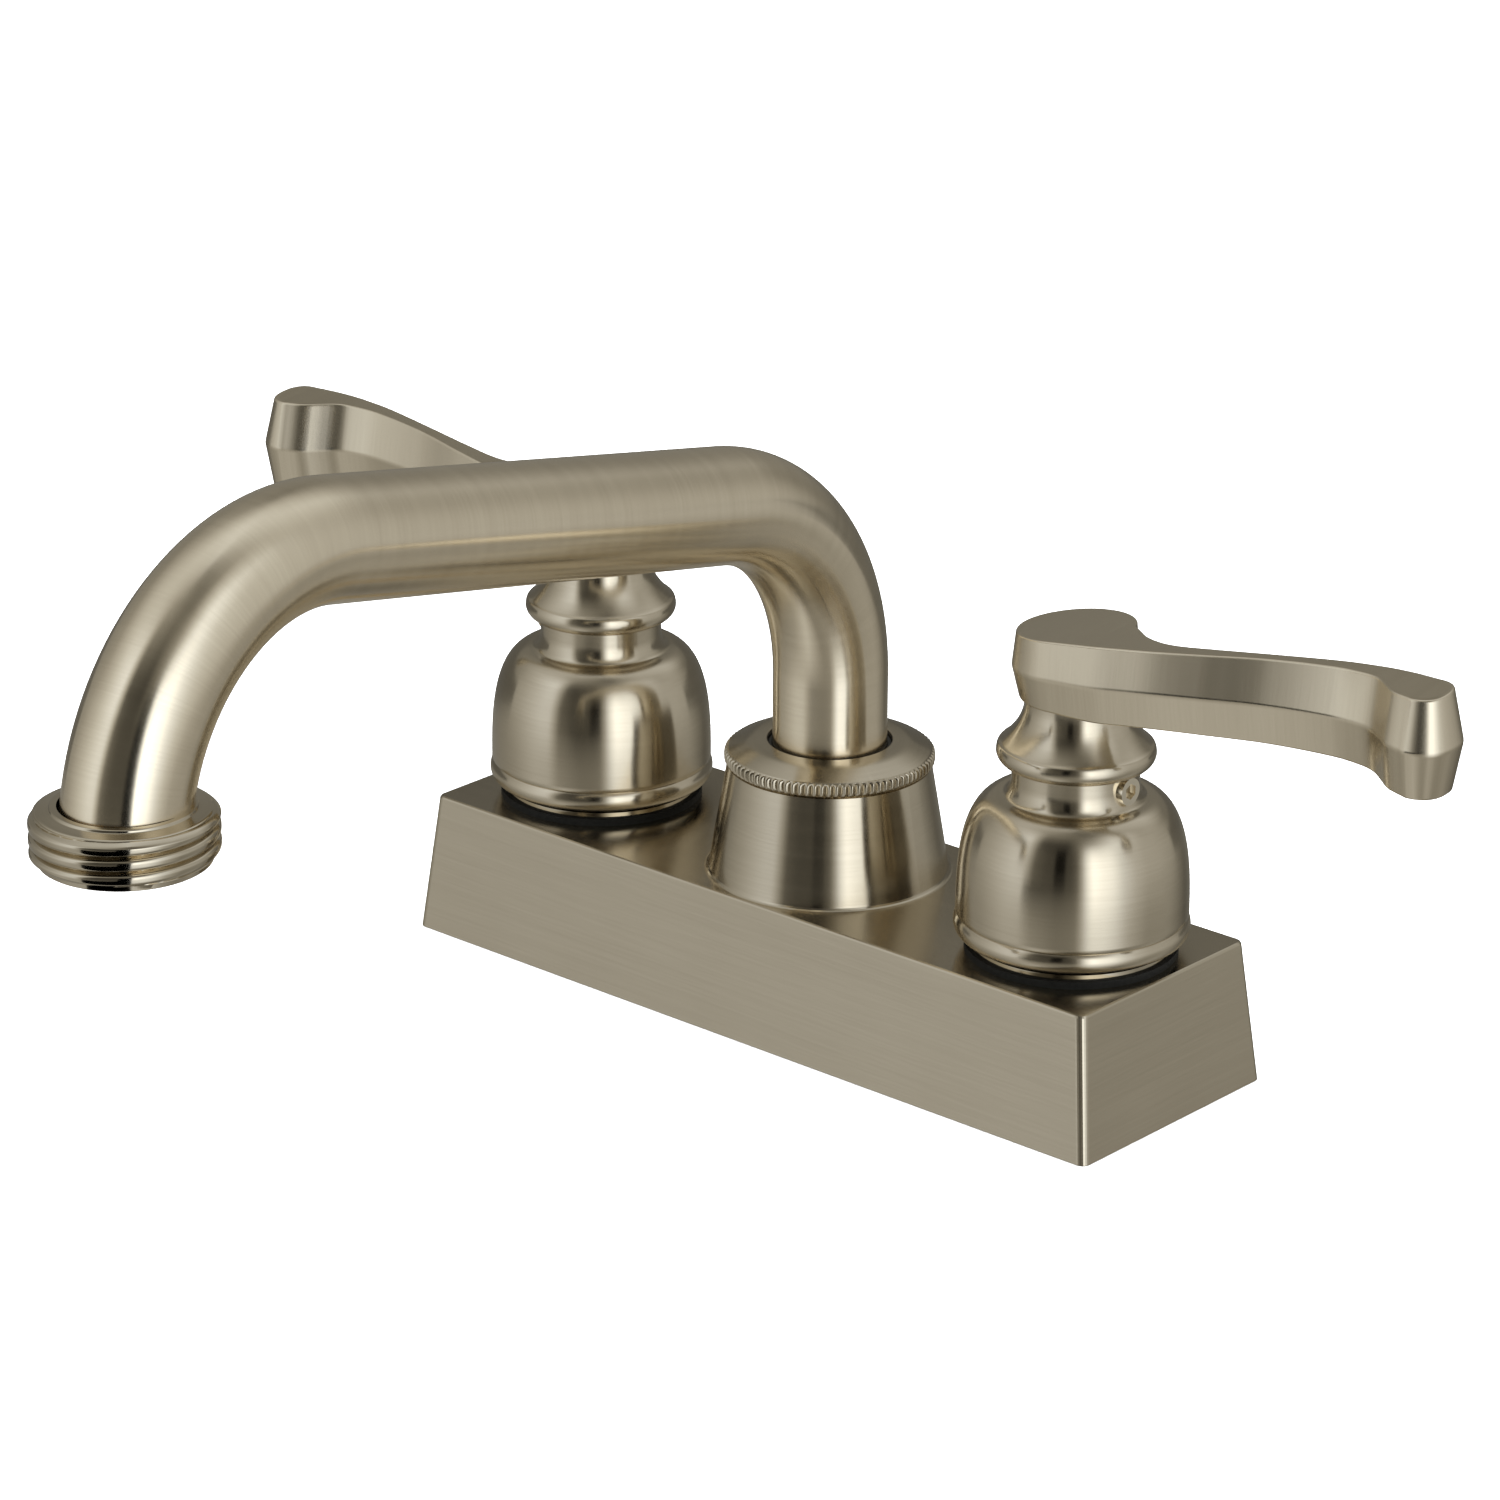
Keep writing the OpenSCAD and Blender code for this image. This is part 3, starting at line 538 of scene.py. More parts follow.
@dataclass(frozen=True)
class Moulded:
    """A rubber, plastic or ceramic finish.

    Attributes:
        name: Its name, also that of the record's slot.
        base: Its main colour.
        speck: Colour of its specks and clouds.
        smooth: Roughness where it is smoothest.
        rough: Roughness where it is dullest.
        scale: Scale of its specks.
        depth: Depth of its pits, in metres.
        gloss: Strength of its highlights.
    """

    name: str
    base: Colour
    speck: Colour
    smooth: float
    rough: float
    scale: float
    depth: float
    gloss: float = 0.5

    def material(self, effects: Effects) -> Material:
        """Builds the finish.

        Args:
            effects: The shared effects.

        Returns:
            The material.
        """
        material, sheet, shader = new_material(self.name)
        spot = sheet.add("ShaderNodeTexCoord").outputs["Object"]
        speckle = place_group(
            sheet, effects.speckle, Place=spot, Scale=self.scale, Base=opaque(self.base),
            Speck=opaque(self.speck), Smooth=self.smooth, Rough=self.rough)
        sheet.feed(shader.inputs["Base Color"], speckle["Colour"])
        sheet.feed(shader.inputs["Roughness"], speckle["Roughness"])
        shader.inputs["Specular IOR Level"].default_value = self.gloss
        add_bump(sheet, shader, speckle["Height"], self.depth)
        return material


SATIN_NICKEL = Metal(
    "satin_nickel", light=(0.79, 0.704, 0.545), dark=(0.695, 0.612, 0.467), smooth=0.18, rough=0.23,
    stretch=0.85, lines=2600.0, depth=6e-7)
# The same satin nickel plating darkened for the hubs: painted shade for how dimly they are lit
SATIN_SHADED_HUB = replace(
    SATIN_NICKEL, name="satin_nickel_shaded_hub", light=(0.68, 0.605, 0.469), dark=(0.59, 0.519, 0.397))
# The same plating darkened further for the base's cover and the spout nut: painted shade
SATIN_SHADED_BASE = replace(
    SATIN_NICKEL, name="satin_nickel_shaded_base", light=(0.625, 0.556, 0.431), dark=(0.535, 0.471, 0.36))
# The same plating lightened for the spout tube: painted light for how brightly it is lit
SATIN_LIT_TUBE = replace(
    SATIN_NICKEL, name="satin_nickel_lit_tube", light=(0.91, 0.811, 0.629), dark=(0.79, 0.696, 0.534))
BRIGHT_NICKEL = Metal(
    "bright_nickel", light=(0.65, 0.583, 0.459), dark=(0.55, 0.484, 0.37), smooth=0.07, rough=0.13,
    lines=5000.0, depth=3e-7)
# The set screws' own steel, made brighter than any plating as a painted highlight for the bright ring round
# each head
SCREW_STEEL_HIGHLIGHT = replace(
    BRIGHT_NICKEL, name="screw_steel_highlight", light=(0.97, 0.895, 0.745), dark=(0.86, 0.785, 0.64), smooth=0.1,
    rough=0.17)
BRASS = Metal(
    "brass", light=(0.83, 0.62, 0.30), dark=(0.66, 0.46, 0.2), smooth=0.22, rough=0.36, stretch=0.4)
CERAMIC = Moulded(
    "ceramic", base=(0.86, 0.84, 0.78), speck=(0.8, 0.78, 0.72), smooth=0.1, rough=0.2, scale=900.0,
    depth=1e-6)
BLACK_RUBBER = Moulded(
    "black_rubber", base=(0.009, 0.009, 0.008), speck=(0.016, 0.016, 0.014), smooth=0.6, rough=0.75,
    scale=1500.0, depth=6e-6, gloss=0.2)
WHITE_PLASTIC = Moulded(
    "white_plastic", base=(0.8, 0.8, 0.76), speck=(0.74, 0.74, 0.7), smooth=0.3, rough=0.42, scale=700.0,
    depth=4e-6)


class FinishShop:
    """Makes each finish once for each way that it is used."""

    def __init__(self) -> None:
        """Starts with the shared effects and no material."""
        self.effects = Effects()
        self.made: dict[tuple | str, Material] = {}

    def metal(self, finish: Metal, grain: Grain) -> Material:
        """A metal's material, made on the first use of each grain.

        Args:
            finish: The finish.
            grain: How its lines run.

        Returns:
            The material.
        """
        key = (finish.name, grain)
        if key not in self.made:
            self.made[key] = finish.material(self.effects, grain)
        return self.made[key]

    def moulded(self, finish: Moulded) -> Material:
        """A moulded finish's material, made on its first use."""
        if finish.name not in self.made:
            self.made[finish.name] = finish.material(self.effects)
        return self.made[finish.name]


def sweep(start: float, end: float, steps: int) -> list[float]:
    """Even steps from one value to another, both included."""
    return [start + (end - start) * i / steps for i in range(steps + 1)]


def circle(centre: Vector, across: Vector, up: Vector, radius: Radius, count: int) -> Ring:
    """A ring of points.

    Args:
        centre: Its centre.
        across: Unit vector at angle 0.
        up: Unit vector at a quarter turn.
        radius: Its radius, or the radius by angle.
        count: How many points.

    Returns:
        The points.
    """
    ring: Ring = []
    for i in range(count):
        a = 2 * math.pi * i / count
        out = radius(a) if callable(radius) else radius
        ring.append(centre + (across * math.cos(a) + up * math.sin(a)) * out)
    return ring


def skin(name: str, rings: Sequence[Ring], ends: Ends, sharp: float = 40.0) -> Piece:
    """Skins a row of rings with the same number of points.

    Args:
        name: The piece's name.
        rings: The rings, in order.
        ends: How the skin is closed.
        sharp: Angle between faces, in degrees, from which an edge stays sharp.

    Returns:
        The new object.
    """
    count, last = len(rings[0]), len(rings) - 1
    pairs = list(zip(range(last), range(1, last + 1))) + ([(last, 0)] if ends is Ends.LOOPED else [])
    faces = [
        (a * count + j, a * count + (j + 1) % count, b * count + (j + 1) % count, b * count + j)
        for a, b in pairs for j in range(count)]
    sides = len(faces)
    for ring in (0, last):
        points = range(ring * count, (ring + 1) * count)
        if ends is Ends.CAPPED:
            faces.append(tuple(points))
        elif ends is Ends.BRIDGED:
            faces += [(points[j], points[j + 1], points[count - 2 - j], points[count - 1 - j])
                      for j in range(count // 2 - 1)]
    mesh = bpy.data.meshes.new(name)
    mesh.from_pydata([p for ring in rings for p in ring], [], faces)
    lay_runs(mesh, rings, sides, ends)
    shape = bmesh.new()
    shape.from_mesh(mesh)
    bmesh.ops.recalc_face_normals(shape, faces=shape.faces)
    shape.to_mesh(mesh)
    shape.free()
    mesh.shade_smooth()
    mesh.set_sharp_from_angle(angle=math.radians(sharp))
    obj = bpy.data.objects.new(name, mesh)
    bpy.context.scene.collection.objects.link(obj)
    return obj


def lay_runs(mesh: bpy.types.Mesh, rings: Sequence[Ring], sides: int, ends: Ends) -> None:
    """Keeps the run along and across a skin's rings, in metres, in its UV map.

    Args:
        mesh: The skin's mesh.
        rings: Its rings.
        sides: How many faces lie between the rings; the end faces come after them.
        ends: How the skin is closed.
    """
    count, run, across = len(rings[0]), ring_runs(rings), [0.0]
    for a, b in zip(rings, rings[1:] + rings[:1]):
        across.append(across[-1] + max((p - q).length for p, q in zip(a, b)))
    uv = mesh.uv_layers.new(name="run")
    for face in mesh.polygons:
        for corner, loop in enumerate(face.loop_indices):
            if face.index < sides:
                ring, j = divmod(face.index, count)
                step, late = j + (corner in (1, 2)), corner in (2, 3)
                uv.data[loop].uv = (run[step], across[ring + late])
            else:
                ring, j = divmod(mesh.loops[loop].vertex_index, count)
                uv.data[loop].uv = cap_run(rings[ring], j, run, ends)


def ring_runs(rings: Sequence[Ring]) -> list[float]:
    """Run round the longest ring, point by point and back to the first.

    Args:
        rings: The rings.

    Returns:
        The runs, in metres, one more than a ring has points.
    """
    longest: list[float] = []
    for ring in rings:
        run = [0.0]
        for p, q in zip(ring, ring[1:] + ring[:1]):
            run.append(run[-1] + (q - p).length)
        if not longest or run[-1] > longest[-1]:
            longest = run
    return longest


def cap_run(ring: Ring, j: int, run: Sequence[float], ends: Ends) -> tuple[float, float]:
    """Run along and across an end face.

    Args:
        ring: The end ring.
        j: Which of its points.
        run: The run round the rings.
        ends: How the skin is closed.

    Returns:
        The point's place in the UV map, in metres.
    """
    if ends is not Ends.BRIDGED:
        offset = ring[j] - ring[0]
        return offset.x, offset.y
    mate = len(ring) - 1 - j
    half = (ring[j] - ring[mate]).length / 2
    return run[min(j, mate)], half if j < mate else -half


def lathe(name: str, axis: Vector, profile: Sequence[tuple[Radius, float]], ends: Ends = Ends.CAPPED,
          count: int = 160) -> Piece:
    """Turns a profile about an upright axis.

    Args:
        name: The piece's name.
        axis: A point on the axis; heights are added to its own.
        profile: Radius, or radius by angle, and height of each point, in metres.
        ends: How the skin is closed.
        count: Points round each ring.

    Returns:
        The new object.
    """
    return skin(name, [circle(axis + UP * z, X_WAY, Y_WAY, r, count) for r, z in profile], ends)


def rounded(corners: Profile, cuts: Sequence[float], steps: int) -> Profile:
    """Rounds the inner corners of an open outline.

    Args:
        corners: The outline's corners.
        cuts: How far each inner corner is cut back along its two sides.
        steps: Points on each round, less one.

    Returns:
        The rounded outline, from the first corner to the last.
    """
    outline, longest_cut = [corners[0]], 0.48
    for (ax, az), (bx, bz), (cx, cz), cut in zip(corners, corners[1:], corners[2:], cuts):
        before, after = math.hypot(ax - bx, az - bz), math.hypot(cx - bx, cz - bz)
        s, e = min(cut / before, longest_cut), min(cut / after, longest_cut)
        start, end = (bx + (ax - bx) * s, bz + (az - bz) * s), (bx + (cx - bx) * e, bz + (cz - bz) * e)
        for i in range(steps + 1):
            t = i / steps
            outline.append(tuple(
                p * (1 - t) ** 2 + 2 * q * t * (1 - t) + r * t * t for p, q, r in zip(start, (bx, bz), end)))
    return outline + [corners[-1]]


@dataclass
class Assembly:
    """A sub-assembly that dresses its solids and adds skins of its own.

    Attributes:
        shop: Where its finishes are made.
        body: The body that it rides on.
    """

    shop: FinishShop
    body: str

    def dress(self, node: str, material: Material) -> None:
        """Gives a solid its finish.

        Args:
            node: The solid's name.
            material: The finish.
        """
        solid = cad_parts[node]
        solid.data.materials.clear()
        solid.data.materials.append(material)
        LOG.info("%s: solid %s in %s", self.body, node, material.name)

    def seat(self, piece: Piece, material: Material, slot: str, *nodes: str) -> None:
        """Puts a new piece in its place, for its solids where it stands for some.

        Args:
            piece: The new piece.
            material: Its finish.
            slot: The record's slot for that finish; not used.
            nodes: The solids that it stands for.
        """
        piece.data.materials.append(material)
        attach(piece, self.body)
        if nodes:
            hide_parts(*nodes)
        LOG.info("%s: piece %s in %s", self.body, piece.name, material.name)


@dataclass
class BaseAssembly(Assembly):
    """The cover with its boss, the spout nut and what closes and joins the base inside.

    Attributes:
        nut_r: Radius over the nut's knurl.
        nut_core_r: Radius between its teeth.
        nut_bore_r: Radius of its thread.
        nut_hole_r: Radius of the hole for the tube.
        nut_shoulder_r: Where its cone meets its flat top.
        nut_h: Height of the nut above the boss.
        nut_flange_h: Height of its flange's underside above the boss.
        nut_foot_cut: How far its foot lies inside the gaps of the teeth.
        cone_foot: How far the cone starts inside the knurl and above it.
        top_fall: How far its top falls towards the shoulder.
        nut_rounds: Rounds at the cone's foot, the shoulder and the hole.
        knurl: Lower and upper end of the knurl above the nut's foot.
        knurl_rows: Rows of points up the knurl, less one.
        knurl_power: How full the teeth are towards their ends.
        teeth: Teeth round the knurl.
        tooth_points: Points round each tooth.
        tooth_floor: Share of a tooth's height that the gaps keep.
    """

    nut_r: float = 17.2 * MM
    nut_core_r: float = 16.6 * MM
    nut_bore_r: float = 14.28 * MM
    nut_hole_r: float = 10.15 * MM
    nut_shoulder_r: float = 13.0 * MM
    nut_h: float = 4.3 * MM
    nut_flange_h: float = 2.2 * MM
    nut_foot_cut: float = 0.3 * MM
    cone_foot: tuple[float, float] = (0.1 * MM, 0.15 * MM)
    top_fall: float = 0.15 * MM
    nut_rounds: tuple[float, float, float] = (0.1 * MM, 0.8 * MM, 0.3 * MM)
    knurl: tuple[float, float] = (0.3 * MM, 2.5 * MM)
    knurl_rows: int = 12
    knurl_power: float = 3.5
    teeth: int = 88
    tooth_points: int = 8
    tooth_floor: float = 0.1

    def build(self) -> None:
        """Builds the nut and dresses the base's solids."""
        # The nut and the cover take the darkened copy of the plating, which is painted shade
        nut_finish = self.shop.metal(SATIN_SHADED_BASE, Grain.ALONG_RINGS)
        self.seat(self.spout_nut(), nut_finish, "satin_nickel", "spout_nut")
        self.dress("base_cover", self.shop.metal(SATIN_SHADED_BASE, Grain.LEVEL))
        self.dress("spout_socket", self.shop.metal(BRASS, Grain.AROUND_AXIS))
        self.dress("deck_gasket", self.shop.moulded(BLACK_RUBBER))

    def tooth_r(self, share: float) -> Callable[[float], float]:
        """Radius round the knurl.

        Args:
            share: Share of the teeth's full height.

        Returns:
            What gives the radius at an angle.
        """
        height, floor = (self.nut_r - self.nut_core_r) * share, self.tooth_floor
        return lambda a: self.nut_core_r + height * (floor + (1 - floor) * abs(math.cos(self.teeth / 2 * a)))

    def spout_nut(self) -> Piece:
        """Turns the nut, with a ring of rounded teeth round its foot.

        Returns:
            The nut.
        """
        top_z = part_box("spout_nut")[1].z
        foot_z = top_z - self.nut_h
        flange_z = foot_z + self.nut_flange_h
        start, end = self.knurl
        cone_in, cone_up = self.cone_foot
        profile: list[tuple[Radius, float]] = [
            (self.nut_bore_r, foot_z), (self.nut_core_r - self.nut_foot_cut, foot_z)]
        for t in sweep(0.0, 1.0, self.knurl_rows):
            share = math.sqrt(1 - abs(2 * t - 1) ** self.knurl_power)
            profile.append((self.tooth_r(share), foot_z + start + (end - start) * t))
        cone = [(self.nut_core_r, foot_z + end), (self.nut_core_r - cone_in, foot_z + end + cone_up),
                (self.nut_shoulder_r, top_z - self.top_fall), (self.nut_hole_r, top_z),
                (self.nut_hole_r, flange_z)]
        profile += rounded(cone, self.nut_rounds, 5)[1:]
        profile.append((self.nut_bore_r, flange_z))
        return lathe("spout_nut_skin", Vector(), profile, Ends.LOOPED, self.teeth * self.tooth_points)


@dataclass
class SpoutAssembly(Assembly):
    """The swept tube, its threaded end and the swivel inside the boss.

    Attributes:
        tube_r: Radius of the tube.
        wall: Its wall.
        tube_points: Points round it.
        reach: From the swivel's axis to the outlet's.
        leg_top: Height where the leg starts to bend.
        slope: Rise of the arm, in degrees.
        leg_bend: Bend radius at the leg.
        outlet_bend: Bend radius at the outlet.
        turn: Swing from straight ahead, in degrees.
        steps: Steps along the leg, each bend and the arm.
        tube_foot: Height of the tube's end above the mouth.
        crest_r: Radius of the hose thread.
        root_r: Radius between its crests.
        pitch: Pitch of the hose thread.
        ridge_power: How broad its crests are.
        run_out: Height over which it rises at both ends.
        thread_foot: Height of the thread's lower end above the mouth.
        thread_turns: How many turns it has.
        thread_rows: Rows of points up the thread, less one.
        thread_points: Points round it.
        thread_start: Where its lower end lies, in degrees from X.
        mouth_cut: Chamfer at both rims of the mouth.
        mouth_rim: How far the outer rim lies inside the thread's root, and its height.
        shoulder_gap: How far the shoulder starts above the thread and outside its root.
        shoulder_cut: Chamfer at the shoulder's foot.
        shoulder_rounds: Rounds at that chamfer and below and above the lip.
        lip: Width, draft and height of the lip round the tube.
        socket_foot: Height of the tube's socket above the mouth.
        socket_gap: Gap round the tube in it.
        shade_ring_r: Inner and outer radius of the black ring between the tube and the nut.
        shade_ring_h: Its height.
        shade_ring_crown: Height of its rounded top.
        shade_ring_drop: How far it lies below the nut's top.
    """

    tube_r: float = 9.35 * MM
    wall: float = 1.2 * MM
    tube_points: int = 128
    reach: float = 162.6 * MM
    leg_top: float = 57.5 * MM
    slope: float = 11.6
    leg_bend: float = 36.8 * MM
    outlet_bend: float = 35.1 * MM
    turn: float = 3.6
    steps: tuple[int, int, int] = (6, 36, 24)
    tube_foot: float = 0.9 * MM
    crest_r: float = 13.485 * MM
    root_r: float = 12.4 * MM
    pitch: float = 2.209 * MM
    ridge_power: float = 3.6
    run_out: float = 0.7 * MM
    thread_foot: float = 0.85 * MM
    thread_turns: int = 3
    thread_rows: int = 96
    thread_points: int = 192
    thread_start: float = -48.5
    mouth_cut: float = 0.35 * MM
    mouth_rim: tuple[float, float] = (0.05 * MM, 0.2 * MM)
    shoulder_gap: float = 0.05 * MM
    shoulder_cut: float = 0.15 * MM
    shoulder_rounds: tuple[float, float, float] = (0.2 * MM, 0.1 * MM, 0.25 * MM)
    lip: tuple[float, float, float] = (1.0 * MM, 0.1 * MM, 0.4 * MM)
    socket_foot: float = 1.0 * MM
    socket_gap: float = 0.02 * MM
    # A black ring that stands in for the shadow in the gap between the tube and the nut: painted shade
    shade_ring_r: tuple[float, float] = (9.38 * MM, 10.1 * MM)
    shade_ring_h: float = 1.2 * MM
    shade_ring_crown: float = 0.2 * MM
    shade_ring_drop: float = 0.8 * MM

    def build(self) -> None:
        """Builds the skins and dresses the hidden solids."""
        # The tube takes the lightened copy of the plating, which is painted light
        lit_tube_plating = self.shop.metal(SATIN_LIT_TUBE, Grain.ALONG_RINGS)
        bright = self.shop.metal(BRIGHT_NICKEL, Grain.ALONG_RINGS)
        rubber = self.shop.moulded(BLACK_RUBBER)
        self.seat(self.tube(), lit_tube_plating, "satin_nickel", "spout_tube")
        self.seat(self.hose_thread(), bright, "bright_nickel", "hose_end")
        # Painted shade: a black ring stands in for the shadow in the tube's gap
        self.seat(self.shade_ring(), rubber, "black_rubber")
        self.dress("swivel_sleeve", self.shop.moulded(WHITE_PLASTIC))
        self.dress("spout_orings", rubber)

    def ahead(self) -> Vector:
        """The level direction from the swivel to the outlet."""
        a = math.radians(self.turn)
        return Vector((math.sin(a), -math.cos(a), 0))

    def path(self) -> list[tuple[Vector, Vector]]:
        """The tube's centre line.

        Returns:
            Points with their directions, from the lower end of the leg to the outlet.
        """
        low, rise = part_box("spout_tube")[0].z, math.radians(self.slope)
        leg_steps, bend_steps, arm_steps = self.steps
        stops = [(0.0, z, QUARTER) for z in sweep(low, self.leg_top, leg_steps)[:-1]]
        for a in sweep(QUARTER, rise, bend_steps):
            stops.append((self.leg_bend * (1 - math.sin(a)), self.leg_top + self.leg_bend * math.cos(a), a))
        arm_start, arm_z, _ = stops[-1]
        arm_end = self.reach - self.outlet_bend * (1 + math.sin(rise))
        for out in sweep(arm_start, arm_end, arm_steps)[1:-1]:
            stops.append((out, arm_z + (out - arm_start) * math.tan(rise), rise))
        top_z = arm_z + (arm_end - arm_start) * math.tan(rise)
        for a in sweep(rise, -QUARTER, bend_steps):
            stops.append((arm_end + self.outlet_bend * (math.sin(rise) - math.sin(a)),
                          top_z - self.outlet_bend * (math.cos(rise) - math.cos(a)), a))
        stops.append((self.reach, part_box("hose_end")[0].z + self.tube_foot, -QUARTER))
        ahead = self.ahead()
        return [(ahead * x + UP * z, ahead * math.cos(a) + UP * math.sin(a)) for x, z, a in stops]

    def tube(self) -> Piece:
        """Sweeps the tube, with its bore.

        Returns:
            The tube.
        """
        side, spine = self.ahead().cross(UP), self.path()
        outer, inner = (
            [circle(p, side, side.cross(way), radius, self.tube_points) for p, way in spine]
            for radius in (self.tube_r, self.tube_r - self.wall))
        return skin("spout_tube_skin", outer + inner[::-1], Ends.LOOPED)

    def shade_ring(self) -> Piece:
        """Turns a black ring in the gap between the tube and the nut: painted shade that stands in for the
        shadow in that gap.

        Returns:
            The ring.
        """
        top_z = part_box("spout_nut")[1].z - self.shade_ring_drop
        foot_z = top_z - self.shade_ring_h
        inner, outer = self.shade_ring_r
        outline = [(inner, foot_z), (outer, foot_z)]
        for a in sweep(0.0, math.pi, 8):
            r = (inner + outer + (outer - inner) * math.cos(a)) / 2
            outline.append((r, top_z - self.shade_ring_crown * (1 - math.sin(a))))
        return lathe("spout_shade_ring", Vector(), outline, Ends.LOOPED)

    def thread_r(self, height: float, angle: float) -> float:
        """Radius of the hose thread: broad rounded ridges with narrow roots.

        Args:
            height: Height above the mouth.
            angle: Angle round its axis.

        Returns:
            The radius.
        """
        up = height - self.thread_foot
        turns = up / self.pitch - (angle - math.radians(self.thread_start)) / (2 * math.pi)
        ridge = 1 - abs(2 * (turns % 1.0) - 1) ** self.ridge_power
        left = self.thread_turns * self.pitch - up
        rise = min(1.0, max(0.0, up / self.run_out), max(0.0, left / self.run_out))
        return self.root_r + (self.crest_r - self.root_r) * ridge * math.sqrt(rise)

    def hose_thread(self) -> Piece:
        """Builds the ring with its helical thread.

        Returns:
            The ring.
        """
        low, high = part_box("hose_end")
        centre = Vector(((low.x + high.x) / 2, (low.y + high.y) / 2, low.z))
        height, bore, socket_r = high.z - low.z, self.tube_r - self.wall, self.tube_r + self.socket_gap
        thread_top = self.thread_foot + self.thread_turns * self.pitch
        rim_in, rim_z = self.mouth_rim
        profile: list[tuple[Radius, float]] = [
            (bore, self.mouth_cut), (bore + self.mouth_cut, 0.0), (self.root_r - self.mouth_cut, 0.0),
            (self.root_r - rim_in, rim_z)]
        for z in sweep(self.thread_foot, thread_top, self.thread_rows):
            profile.append((partial(self.thread_r, z), z))
        lip_w, lip_draft, lip_h = self.lip
        lip_r, shoulder_z = self.tube_r + lip_w, thread_top + self.shoulder_gap
        shoulder = [(self.root_r + self.shoulder_gap, shoulder_z),
                    (self.root_r - self.shoulder_cut, shoulder_z + self.shoulder_cut),
                    (lip_r + lip_draft, height - lip_h), (lip_r, height), (socket_r, height)]
        profile += rounded(shoulder, self.shoulder_rounds, 4)
        profile += [(socket_r, self.socket_foot), (bore, self.tube_foot)]
        return lathe("hose_thread_ring", centre, profile, Ends.LOOPED, self.thread_points)


